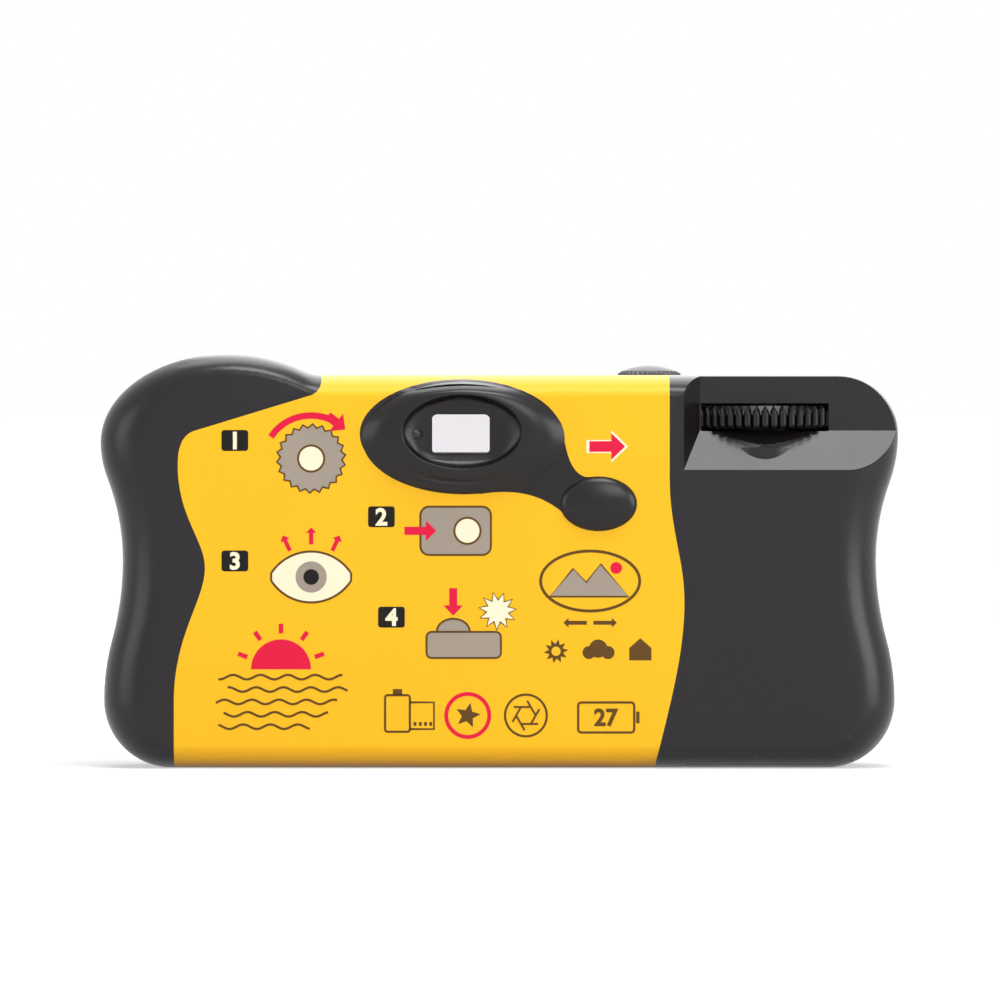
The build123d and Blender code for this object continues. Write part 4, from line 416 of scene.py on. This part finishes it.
def smooth_skin(node, name, body, finish, without=None):
    """A smooth copy that stands for a solid; faces whose middle is in the left-out space come off."""
    bm = bmesh.new()
    bm.from_mesh(nodes[node].data)
    bmesh.ops.remove_doubles(bm, verts=bm.verts, dist=MERGE)
    corners = np.array([v.co for v in bm.verts]) / MM
    bm.verts.index_update()
    sides = [[v.index for v in f.verts] for f in bm.faces]
    bm.free()
    if without:
        middle = np.array([corners[s].mean(0) for s in sides])
        sides = [s for s, gone in zip(sides, without(middle)) if not gone]
    made = piece(name, corners, sides, body, finish, sharp=SKIN_CREASE)
    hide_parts(node)


def in_oval(x, z, centre, half_x, half_z):
    """Whether points lie inside an oval: the squares of their shares of its half widths add up to under 1."""
    return ((x - centre[0]) / half_x) ** 2 + ((z - centre[1]) / half_z) ** 2 < 1


def eyepiece_space(middle):
    """Where the eyepiece and the round bump stand out of the rear cover: two ovals behind its face."""
    x, y, z = middle.T
    eye = in_oval(x, z, EYE, 15.0, 7.9) & (y < REAR + 0.08)
    bump = in_oval(x, z, BUMP, 5.9, 4.2) & (y < REAR - 0.002)
    return eye | bump


def wheel_space(middle):
    """The rim of the thumbwheel: outside its hub, from its lower to its upper face."""
    x, y, z = middle.T
    hub, margin = 4.1, 0.05
    off_axis = np.hypot(x - WHEEL[0], y - WHEEL[1])
    return (off_axis > hub) & (z > RIM_LOW - margin) & (z < RIM_HIGH + margin)


smooth_skin("rear_cover", "rear_moulding", "camera", cover_black, without=eyepiece_space)
smooth_skin("front_cover", "front_moulding", "camera", cover_black)
smooth_skin("label_wrap", "label_sleeve", "camera", label_yellow)
smooth_skin("lens_bezel", "bezel_moulding", "camera", bezel_black)
smooth_skin("cassette_door", "door_moulding", "door", cover_black)


# Eyepiece and round bump


def rear_drop(z):
    """How far the rear face lies forward of its flat part: a quarter oval over the top rounding."""
    flat_top, crown, drop = 57.0, 60.3, 7.0
    return drop * (1 - np.sqrt(1 - rising(z, flat_top, crown) ** 2))


def eyepiece_mound():
    """A broad dome from an oval foot to a rim, with a groove below the rim, then a dish down to the window.

    Half widths and middles go straight from foot to rim. From there to the window, the middles go straight
    again and the half widths by the way to the power of 1.25. The dome's height falls by the way down to
    the power of 2.2, and the dish sinks by a sine to the power of 0.85. The groove is a bell curve across
    the rows, times the root of the downward share of the angle's sine.
    """
    foot, rim, window = (15.95, 8.8), (9.2, 5.7), (4.5, 3.1)
    foot_middle, rim_middle = (-5.5, 50.6), (-5.68, 51.65)
    sunk, rim_out, dish_depth = 0.3, 2.0, 1.92
    groove_depth, groove_place, groove_width = 0.4, 0.48, 0.09
    oval, box = 2.0, 7.5
    count, dome_rows, dish_rows = 160, 34, 24

    fall = np.linspace(1, 0, dome_rows)
    dish = np.linspace(0, 1, dish_rows)[1:]
    half_x, half_z = (
        np.concatenate([between(rim[k], foot[k], fall), between(rim[k], window[k], dish**1.25)])
        for k in (0, 1)
    )
    centre = [
        np.concatenate([between(rim_middle[k], foot_middle[k], fall), between(rim_middle[k], EYE[k], dish)])
        for k in (0, 1)
    ]
    dome_out = (rim_out + sunk) * (1 - fall**2.2) - sunk
    dish_out = rim_out - dish_depth * np.sin(dish * QUARTER) ** 0.85
    depth = REAR - np.concatenate([dome_out, dish_out])
    power = np.concatenate([np.full(dome_rows, oval), between(oval, box, dish**2)])
    grid = oval_rings(centre, half_x, half_z, depth, power, count)

    low = np.clip(-np.sin(np.linspace(0, WHOLE, count, endpoint=False)), 0, 1)
    groove = groove_depth * np.outer(np.exp(-(((fall - groove_place) / groove_width) ** 2)), np.sqrt(low))
    grid[:dome_rows, :, 1] += groove + rear_drop(grid[:dome_rows, :, 2]) * fall[:, None]
    skin("eyepiece_mound", grid, "camera", eye_black)


eyepiece_mound()
dome("round_bump", BUMP, 5.75, 4.05, REAR, 1.4, 20, RING_COUNT, eye_black)


# Thumbwheel: its hub from the solid, and a finer rim


def wheel_ribs():
    """Arched ribs on a rim that slopes in at its top: the radius goes from core to crest by the rib's share.

    The share is 1 less the square of the way off the rib's middle, to the power of 0.45, and a rib grows
    narrower towards its upper end. Flat faces below and above lead to the hub.
    """
    ribs, steps_each = 60, 14
    count = ribs * steps_each
    under_face, over_face = (6.25, 12.1), (11.8, 3.95)
    rows = np.linspace(0, 1, 25)
    foot, thinning, slope, rounding = (
        rising(rows, *part) for part in ((0, 0.14), (0.5, 0.98), (0.62, 1), (0.78, 1))
    )
    core = 12.2 + 0.7 * foot - 1.0 * slope
    crest = 13.1 + 0.5 * foot - 0.4 * rounding**2
    width = 0.9 * (1 - thinning**2.2)
    angle = np.linspace(0, WHOLE, count, endpoint=False)
    off = np.abs((angle * ribs / WHOLE + 0.5) % 1 - 0.5) * 2
    share = np.clip(1 - (off[None, :] / np.maximum(width, 0.001)[:, None]) ** 2, 0, 1) ** 0.45
    side = between(core[:, None], crest[:, None], share)
    below, above = (np.outer(radii, np.ones(count)) for radii in (under_face, over_face))
    height = np.concatenate([[RIM_LOW] * 2, between(RIM_LOW, RIM_HIGH, rows), [RIM_HIGH] * 2])
    grid = turned(np.vstack([below, side, above]), height, WHEEL)
    skin("wheel_ribs", grid, "winding", wheel_black, sharp=RIB_CREASE)


smooth_skin("thumbwheel", "wheel_hub", "winding", wheel_black, without=wheel_space)
wheel_ribs()


# Ready light: the domed end of its pipe in the dish

dome("ready_light", READY, 0.8, 0.8, REAR - 0.5, 0.3, 8, 32, smoked_pane)


# Shutter button


def shutter_cap():
    """A stem and flange below the cover, then a rim that rounds in by a quarter turn, and a low domed top.

    Shallow ribs cut the rounded rim by a raised cosine of the angle, and the top falls by the square of
    the radius.
    """
    stem, flange, rim, dome_edge = 1.7, 5.3, 4.9, 4.3
    foot, under, over, rim_top, shoulder, top = 51.0, 57.8, 58.5, 60.0, 60.2, 61.8
    round_in, round_up, dome_fall, dome_reach = 0.35, 0.5, 0.95, 4.4
    count, ribs, rib_depth = 144, 36, 0.28
    bend = np.linspace(0, QUARTER, 9)
    radius = np.linspace(dome_edge, 0, 14)
    below = np.array(
        [(0, foot), (stem, foot), (stem, under), (flange, under), (flange, over), (rim, over), (rim, rim_top)]
    )
    rounded = np.column_stack([rim - round_in * (1 - np.cos(bend)), shoulder + round_up * np.sin(bend)])
    domed = np.column_stack([radius, top - dome_fall * (radius / dome_reach) ** 2])
    profile = np.vstack([below, rounded, domed])
    cut = np.concatenate([np.zeros(len(below)), rib_depth * (bend > 0), np.zeros(len(domed))])
    wave = 0.5 + 0.5 * np.cos(ribs * np.linspace(0, WHOLE, count, endpoint=False))
    grid = turned(profile[:, :1] - np.outer(cut, wave), profile[:, 1], SHUTTER)
    cap = skin(
        "shutter_cap", grid, "release", button_black, poles=True, sharp=CAP_CREASE
    )
    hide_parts("shutter_button")


shutter_cap()


# Flash


def flash_prisms():
    """The sheet of prisms behind the flash window: its place forward follows a saw of the sideways place."""
    half_wide, half_high, back, pitch, tooth = 9.2, 5.0, 13.75, 0.8, 0.5
    across = np.linspace(-half_wide, half_wide, 185)
    saw = np.abs(across / pitch % 1 - 0.5) * tooth
    x, z = np.meshgrid(FLASH[0] + across, FLASH[1] + np.linspace(half_high, -half_high, 9))
    grid = np.stack([x, np.broadcast_to(back + saw, x.shape), z], 2)
    skin("flash_prisms", grid, "camera", clear_pane, around=False)


flash_prisms()


# Print: flat inks a few hundredths of a millimetre above the sleeve, each level a little further out

INKS = {
    "pale": ink_pale,
    "red": ink_red,
    "black": ink_black,
    "grey": ink_grey,
    "brown": ink_brown,
    "yellow": label_yellow,
    "orange": ink_orange,
}
FIRST_LEVEL = 0.02
LEVEL_STEP = 0.008
PEN = 0.32
printed = {ink: [] for ink in INKS}


def laid(outline, level=0, front=False):
    """A closed outline of (x, z) points on the sleeve's rear or front, wound so that it looks outwards."""
    flat = np.asarray(outline, float)
    following = np.roll(flat, -1, axis=0)
    area = np.sum(flat[:, 0] * following[:, 1] - following[:, 0] * flat[:, 1])
    if (area < 0) != front:
        flat = flat[::-1]
    out = FIRST_LEVEL + LEVEL_STEP * level
    y = FRONT + out if front else REAR - out
    return np.column_stack([flat[:, 0], np.full(len(flat), y), flat[:, 1]])


def put(ink, outline, level=0, front=False):
    """Fills a closed outline with an ink."""
    printed[ink].append(laid(outline, level, front))


def line(ink, points, width, closed=False, level=1, front=False):
    """Lays a band of a width along a path: each side is the path moved along its normal."""
    path = np.asarray(points, float)
    if closed:
        way = np.roll(path, -1, axis=0) - np.roll(path, 1, axis=0)
    else:
        way = np.gradient(path, axis=0)
    way /= np.linalg.norm(way, axis=1)[:, None] + 1e-12
    normal = np.column_stack([-way[:, 1], way[:, 0]]) * width / 2
    left, right = path + normal, path - normal
    last = len(path) if closed else len(path) - 1
    for k in range(last):
        after = (k + 1) % len(path)
        put(ink, [left[k], left[after], right[after], right[k]], level, front)


def outlined(ink, points, width=PEN, level=0):
    """Fills a closed outline and draws round it in brown, one level further out."""
    put(ink, points, level)
    line("brown", points, width, closed=True, level=level + 1)


def ring(x, z, wide, high, start=0, end=360, count=48):
    """Points of an oval arc, by cosine and sine."""
    angle = np.radians(np.linspace(start, end, count, endpoint=(end - start) < 360))
    return np.column_stack([x + wide * np.cos(angle), z + high * np.sin(angle)])


def soft_box(x, z, wide, high, corner, count=6):
    """Points of a box with quarter-circle corners."""
    inner_x, inner_z = wide - corner, high - corner
    quarters = [
        ring(x + sx * inner_x, z + sz * inner_z, corner, corner, start, start + 90, count)
        for start, sx, sz in ((0, 1, 1), (90, -1, 1), (180, -1, -1), (270, 1, -1))
    ]
    return np.vstack(quarters)


def star(x, z, outer, inner, rays):
    """Points of a burst: the radius steps between outer and inner."""
    angle = np.pi * np.arange(2 * rays) / rays + 0.1
    reach = np.where(np.arange(2 * rays) % 2, inner, outer)
    return np.column_stack([x + reach * np.cos(angle), z + reach * np.sin(angle)])


def swung(flat, angle):
    """Points turned about the origin by an angle in radians."""
    return flat @ np.array([[np.cos(angle), np.sin(angle)], [-np.sin(angle), np.cos(angle)]])


def arrow(x, z, length, height, turn=0.0):
    """Points of an arrow about its middle, turned by degrees: half of its outline, and the same mirrored."""
    half, shaft = length / 2, height * 0.2
    neck = half - height * 0.52
    upper = np.array([(-half, shaft), (neck, shaft), (neck, height / 2), (half, 0)])
    flat = np.vstack([upper, upper[-2::-1] * (1, -1)])
    return swung(flat, np.radians(turn)) + (x, z)


def curve(start, pull_start, pull_end, end):
    """Points of a curve between two ends, by the cubic with two pulls."""
    t = np.linspace(0, 1, 20)[:, None]
    a, b, c, d = (np.array(p, float) for p in (start, pull_start, pull_end, end))
    return (1 - t) ** 3 * a + 3 * (1 - t) ** 2 * t * b + 3 * (1 - t) * t**2 * c + t**3 * d


def digits(text, size, bold, fineness):
    """The filled faces of a number about its middle, as (x, y) points; bold is a share of the size."""
    letters = bpy.data.curves.new("digits", "FONT")
    letters.body = text
    letters.size = size
    letters.offset = size * bold
    letters.align_x = "CENTER"
    letters.align_y = "CENTER"
    letters.resolution_u = fineness
    holder = bpy.data.objects.new("digits", letters)
    mesh = bpy.data.meshes.new_from_object(holder)
    corners = np.array([v.co for v in mesh.vertices])[:, :2]
    faces = [corners[list(side.vertices)] for side in mesh.polygons]
    bpy.data.objects.remove(holder)
    bpy.data.meshes.remove(mesh)
    bpy.data.curves.remove(letters)
    return faces


def number(ink, text, x, z, level=2):
    """Prints a number with the middle of its filled shape at a place."""
    faces = digits(text, size=3.6, bold=0.035, fineness=3)
    corners = np.vstack(faces)
    middle = (corners.min(0) + corners.max(0)) / 2
    for face in faces:
        put(ink, face - middle + (x, z), level)


# Signs on the sleeve, each drawn about its own place, in millimetres


def thumb_arrow(x, z):
    """A red arrow with a pale edge, which points at the thumbwheel."""
    put("pale", arrow(x, z, 6.4, 5.0))
    put("red", arrow(x, z, 5.5, 4.1), level=1)


def tile(text, x, z):
    """A pale number on a black tile."""
    put("black", soft_box(x, z, 2.05, 1.6, 0.45))
    number("pale", text, x, z)


def wheel_step(x, z):
    """A toothed wheel under a turning arrow."""
    put("grey", star(x, z, 5.2, 4.5, 22))
    line("brown", star(x, z, 5.3, 4.7, 22), PEN, closed=True)
    outlined("pale", ring(x, z, 2.0, 2.0), level=1)
    line("red", ring(x, z, 7.1, 6.6, 150, 62, 20), width=1.0)
    put("red", arrow(x + 3.9, z + 5.5, 3.4, 3.4, -38), level=2)


def window_step(x, z):
    """A grey case with a round window, and an arrow that pushes it."""
    outlined("grey", soft_box(x, z, 5.4, 3.7, 1.3))
    outlined("pale", ring(x + 1.8, z, 2.0, 2.0), level=1)
    put("red", arrow(x - 5.4, z, 4.9, 3.1), level=3)


def eye_step(x, z):
    """An eye between two arcs, with three short arrows over it."""
    reach, drop = 7.3, 3.4
    upper = ring(x, z - drop, reach, reach, 33, 147, 24)
    lower = ring(x, z + drop, reach, reach, 213, 327, 24)
    outlined("pale", np.vstack([upper, lower]), width=0.34)
    put("grey", ring(x, z, 2.4, 2.4), level=1)
    put("black", ring(x, z, 1.2, 1.2), level=2)
    for side in (-1, 0, 1):
        put("red", arrow(x + side * 3.8, z + 6.3 - abs(side) * 1.1, 2.6, 1.6, 90 - side * 25), level=1)


def button_step(x, z):
    """A case with a round button under a pushing arrow, and a burst of light."""
    button = ring(x - 1.6, z + 0.3, 2.5, 1.9, 0, 180, 20)
    burst = star(x + 5.2, z + 3.4, 2.9, 1.7, 11)
    outlined("grey", soft_box(x, z - 1.8, 5.7, 2.0, 0.8))
    put("grey", button, level=1)
    line("brown", button, PEN, level=2)
    put("red", arrow(x - 1.6, z + 4.8, 4.2, 3.0, -90), level=3)
    outlined("pale", burst, width=0.26, level=3)


def landscape(x, z):
    """An oval with two hills and a sun, and a distance arrow each way under it."""
    hills = np.array([(-6.2, -2.4), (-2.6, 1.9), (-0.6, -0.2), (1.6, 2.6), (5.9, -2.4)]) + (x, z)
    line("brown", ring(x, z, 7.6, 4.6), width=0.45, closed=True)
    outlined("grey", hills, width=0.3)
    put("red", ring(x + 4.0, z + 2.0, 0.9, 0.9), level=2)
    for side, turn in ((1, 0), (-1, 180)):
        put("brown", arrow(x + side * 2.3, z - 6.4, 3.6, 1.5, turn))


def sunset(x, z):
    """A red sun with five rays over five waves, each a sine line with its own ends."""
    waves = ((-9.6, 9.4), (-8.2, 10.2), (-10.0, 8.6), (-8.8, 7.2), (-9.6, 4.4))
    put("red", ring(x, z, 4.6, 4.6, 0, 180, 30))
    for turn in np.radians(range(20, 180, 35)):
        toward = np.array([np.cos(turn), np.sin(turn)])
        line("red", [(x, z) + 5.5 * toward, (x, z) + 7.0 * toward], width=0.7)
    for count, (start, end) in enumerate(waves):
        way = np.linspace(start, end, 60)
        high = z - 1.2 - 1.9 * count + 0.35 * np.sin(way * 1.5 + count)
        line("brown", np.column_stack([x + way, high]), width=0.36)


def film_roll_sign(x, z):
    """A film cassette with its knob, and a tongue of film with four holes."""
    left, right, high, low = x + 1.9, x + 5.6, z + 1.7, z - 2.4
    line("brown", soft_box(x, z, 1.9, 2.8, 0.4), width=0.34, closed=True)
    line("brown", [(x - 0.7, z + 3.3), (x + 0.7, z + 3.3)], width=0.9)
    line("brown", [(left, high), (right, high), (right, low), (left, low)], width=0.34)
    for step in range(4):
        put("brown", soft_box(x + 2.7 + 0.8 * step, z - 1.6, 0.22, 0.3, 0.1, 3))


def star_sign(x, z):
    """A star in a red ring."""
    line("red", ring(x, z, 3.3, 3.3), width=0.6, closed=True)
    put("brown", star(x, z, 2.0, 0.9, 5))


def iris_sign(x, z):
    """A lens iris: six blades, each a line from one corner of a hexagon on past the next."""
    line("brown", ring(x, z, 3.2, 3.2), width=0.36, closed=True)
    corners = ring(x, z, 1.5, 1.5, count=6)
    for level, (near, far) in enumerate(zip(corners, np.roll(corners, -1, axis=0)), 2):
        line("brown", [near, between(near, far, 1.75)], width=0.3, level=level)


def frame_sign(x, z):
    """A film frame with the number of its pictures, and a tab."""
    line("brown", soft_box(x, z, 4.3, 2.3, 0.5), width=0.36, closed=True)
    line("brown", [(x + 4.85, z - 0.9), (x + 4.85, z + 0.9)], width=0.5)
    number("brown", "27", x, z)


def sun_sign(x, z):
    """A small sun."""
    put("brown", star(x, z, 1.9, 1.1, 10))
    put("yellow", ring(x, z, 0.7, 0.7), level=1)


def cloud_sign(x, z):
    """A small cloud of three discs."""
    for level, (dx, dz, size) in enumerate(((-1.4, -0.2, 1.0), (0.0, 0.4, 1.4), (1.5, -0.2, 1.0))):
        put("brown", ring(x + dx, z + dz, size, size), level)


def house_sign(x, z):
    """A small house."""
    half, base, eaves, ridge = 1.7, z - 1.4, z + 0.5, z + 2.0
    put("brown", [(x - half, base), (x + half, base), (x + half, eaves), (x, ridge), (x - half, eaves)])


# Each numbered step, in the picture's pixels: its number and its tile's place, its motif and its place
STEPS = (
    ("1", (236, 440), wheel_step, (312, 458)),
    ("2", (382, 516), window_step, (456, 530)),
    ("3", (236, 560), eye_step, (312, 576)),
    ("4", (392, 616), button_step, (464, 632)),
)

# Each other sign and its place, in the picture's pixels
SIGNS = (
    (thumb_arrow, (607, 446)),
    (landscape, (590, 580)),
    (sunset, (282, 668)),
    (film_roll_sign, (398, 712)),
    (star_sign, (468, 714)),
    (iris_sign, (526, 714)),
    (frame_sign, (606, 716)),
    (sun_sign, (556, 650)),
    (cloud_sign, (598, 650)),
    (house_sign, (640, 650)),
)


def at(place):
    """Millimetres from a place in the picture."""
    return (place[0] - MIDDLE_COLUMN) / PIXELS_PER_MM, (FOOT_ROW - place[1]) / PIXELS_PER_MM


def front_print():
    """A plain sun over three waved bands beside the lens, and a ring round the charge button."""
    sun = (25.5, 36.5)
    left, right, shift, wave_high = 14.5, 34.0, 0.9, 2.2
    lowest, apart, band_high = 8.0, 3.6, 2.6
    for count, ink in enumerate(("red", "orange", "pale")):
        edge = np.linspace(left + shift * count, right, 16)
        low = lowest + apart * count + wave_high * np.sin(rising(edge, left, right) * np.pi)
        band = [np.column_stack([edge, low]), np.column_stack([edge, low + band_high])[::-1]]
        put(ink, np.vstack(band), front=True)
    put("red", star(*sun, 7.4, 5.0, 14), front=True)
    put("pale", ring(*sun, 4.3, 4.3), level=1, front=True)
    put("orange", ring(*sun, 3.5, 3.5), level=2, front=True)
    line("black", ring(*CHARGE, 8.4, 8.4), width=0.5, closed=True, level=0, front=True)


def eyepiece_neck():
    """Bare cover between the eyepiece and the round bump: two curves whose ends lie under the two."""
    upper = curve((9.75, 51.3), (10.6, 47.13), (11.2, 44.4), (15.1, 44.4))
    lower = curve((10.6, 38.5), (7.9, 41.0), (4.3, 43.3), (-3.0, 42.1))
    outline = np.vstack([upper, [BUMP], lower, [(-3.2, 45.0), (8.0, 50.5)]])
    flats("eyepiece_neck", [laid(outline, level=2)], "camera", eye_black)


for text, tile_place, motif, motif_place in STEPS:
    tile(text, *at(tile_place))
    motif(*at(motif_place))
for sign, place in SIGNS:
    sign(*at(place))
front_print()
eyepiece_neck()
for ink, outlines in printed.items():
    flats("print_" + ink, outlines, "camera", INKS[ink])


# Counter disc


def counter_numbers():
    """Every third of the disc's thirty steps as a number on its spoke, its foot to the middle."""
    shown, apart, spoke_length = 10, 3, 4.6
    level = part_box("counter_wheel")[1].z / MM + 0.02
    outlines = []
    for count in range(shown):
        angle = -WHOLE * count / shown
        spoke = (COUNTER[0] + spoke_length * np.cos(angle), COUNTER[1] + spoke_length * np.sin(angle))
        for face in digits(str(count * apart), size=2.0, bold=0.0, fineness=2):
            flat = swung(face, angle - QUARTER) + spoke
            outlines.append(np.column_stack([flat, np.full(len(flat), level)]))
    flats("counter_numbers", outlines, "counter", ink_black)


counter_numbers()


# Floor and surroundings: white as the camera, reflections and glass see them, dimmer as light on the object


def seen(tree):
    """1 for a ray from the camera, a reflection or glass, and 0 for any other: the largest of three flags."""
    rays = add(tree, "LightPath")
    largest = rays.outputs["Is Camera Ray"]
    for flag in ("Is Glossy Ray", "Is Transmission Ray"):
        choice = add(tree, "Math", operation="MAXIMUM")
        tree.links.new(largest, choice.inputs[0])
        tree.links.new(rays.outputs[flag], choice.inputs[1])
        largest = choice.outputs[0]
    return largest


def pale_floor():
    """A wide floor just under the object: it takes shadows, and its own glow rises with the distance."""
    side, under, grey = 12.0, -0.05 * MM, 0.55
    near, far, near_glow, far_glow = 0.25, 1.6, 0.5, 0.79
    mesh = bpy.data.meshes.new("floor")
    corners = [(-side, -side, under), (side, -side, under), (side, side, under), (-side, side, under)]
    mesh.from_pydata(corners, [], [(0, 1, 2, 3)])
    floor = bpy.data.objects.new("floor", mesh)
    bpy.context.scene.collection.objects.link(floor)

    material = bpy.data.materials.new("pale_floor")
    material.use_nodes = True
    tree = material.node_tree
    tree.nodes.remove(tree.nodes["Principled BSDF"])
    diffuse = add(tree, "BsdfDiffuse")
    diffuse.inputs["Color"].default_value = (grey, grey, grey, 1)
    apart = add(tree, "VectorMath", operation="LENGTH")
    tree.links.new(add(tree, "TexCoord").outputs["Object"], apart.inputs[0])
    brightness = ramp(tree, apart.outputs["Value"], (near, far), (near_glow, far_glow))
    strength = add(tree, "Math", operation="MULTIPLY")
    tree.links.new(seen(tree), strength.inputs[0])
    tree.links.new(brightness, strength.inputs[1])
    glow = add(tree, "Emission")
    tree.links.new(strength.outputs[0], glow.inputs["Strength"])
    both = add(tree, "AddShader")
    tree.links.new(diffuse.outputs[0], both.inputs[0])
    tree.links.new(glow.outputs[0], both.inputs[1])
    tree.links.new(both.outputs[0], tree.nodes["Material Output"].inputs["Surface"])
    mesh.materials.append(material)


def studio():
    """A white world, at full strength where it is seen and dimmer where it lights."""
    seen_strength, light_strength = 1.0, 0.4
    world = bpy.data.worlds.new("studio")
    bpy.context.scene.world = world
    world.use_nodes = True
    tree = world.node_tree
    room = tree.nodes["Background"]
    backdrop = add(tree, "Background")
    for background, strength in ((room, light_strength), (backdrop, seen_strength)):
        background.inputs["Color"].default_value = (1, 1, 1, 1)
        background.inputs["Strength"].default_value = strength
    choice = add(tree, "MixShader")
    tree.links.new(seen(tree), choice.inputs["Fac"])
    tree.links.new(room.outputs[0], choice.inputs[1])
    tree.links.new(backdrop.outputs[0], choice.inputs[2])
    tree.links.new(choice.outputs[0], tree.nodes["World Output"].inputs["Surface"])


# Each square lamp: its name, place and side in metres, and watts
LAMPS = (
    ("overhead", (0.1, -0.27, 0.95), 0.4, 4.9),
    ("front_high", (0.3, -0.85, 0.55), 0.5, 3.2),
    ("front_left", (-0.95, -0.45, 0.22), 0.6, 2.1),
    ("front_right", (0.95, -0.5, 0.25), 0.6, 4.8),
    ("behind", (-0.05, 0.5, 0.87), 0.5, 1.8),
    ("far", (0.2, 0.95, 0.5), 0.7, 3.0),
)
LIT_POINT = Vector((0, 0, 0.035))


def aimed(thing, place, target):
    """Puts a lamp or camera at a place and turns it to a target."""
    thing.location = place
    thing.rotation_euler = (target - Vector(place)).to_track_quat("-Z", "Y").to_euler()
    bpy.context.scene.collection.objects.link(thing)


def softbox(name, place, size, watts):
    """A square lamp turned to the middle of the object."""
    data = bpy.data.lights.new(name, "AREA")
    data.shape = "SQUARE"
    data.size = size
    data.energy = watts
    aimed(bpy.data.objects.new(name, data), place, LIT_POINT)


def photo_view():
    """A long lens nearly level with the object, from as far as gives the picture's scale."""
    focal, sensor, raised = 500, 36, np.radians(0.6)
    target = Vector((0.0001, -0.008, 0.0411))
    away = focal / sensor * FRAME_PIXELS / PIXELS_PER_MM * MM
    lens = bpy.data.cameras.new("photo_view")
    lens.lens = focal
    lens.sensor_width = sensor
    lens.clip_start = 0.01
    view = bpy.data.objects.new("photo_view", lens)
    aimed(view, target + Vector((0, -np.cos(raised) * away, np.sin(raised) * away)), target)
    bpy.context.scene.camera = view


pale_floor()
studio()
for lamp in LAMPS:
    softbox(*lamp)
photo_view()
bpy.context.scene.view_settings.view_transform = "Standard"

bpy.context.view_layer.update()
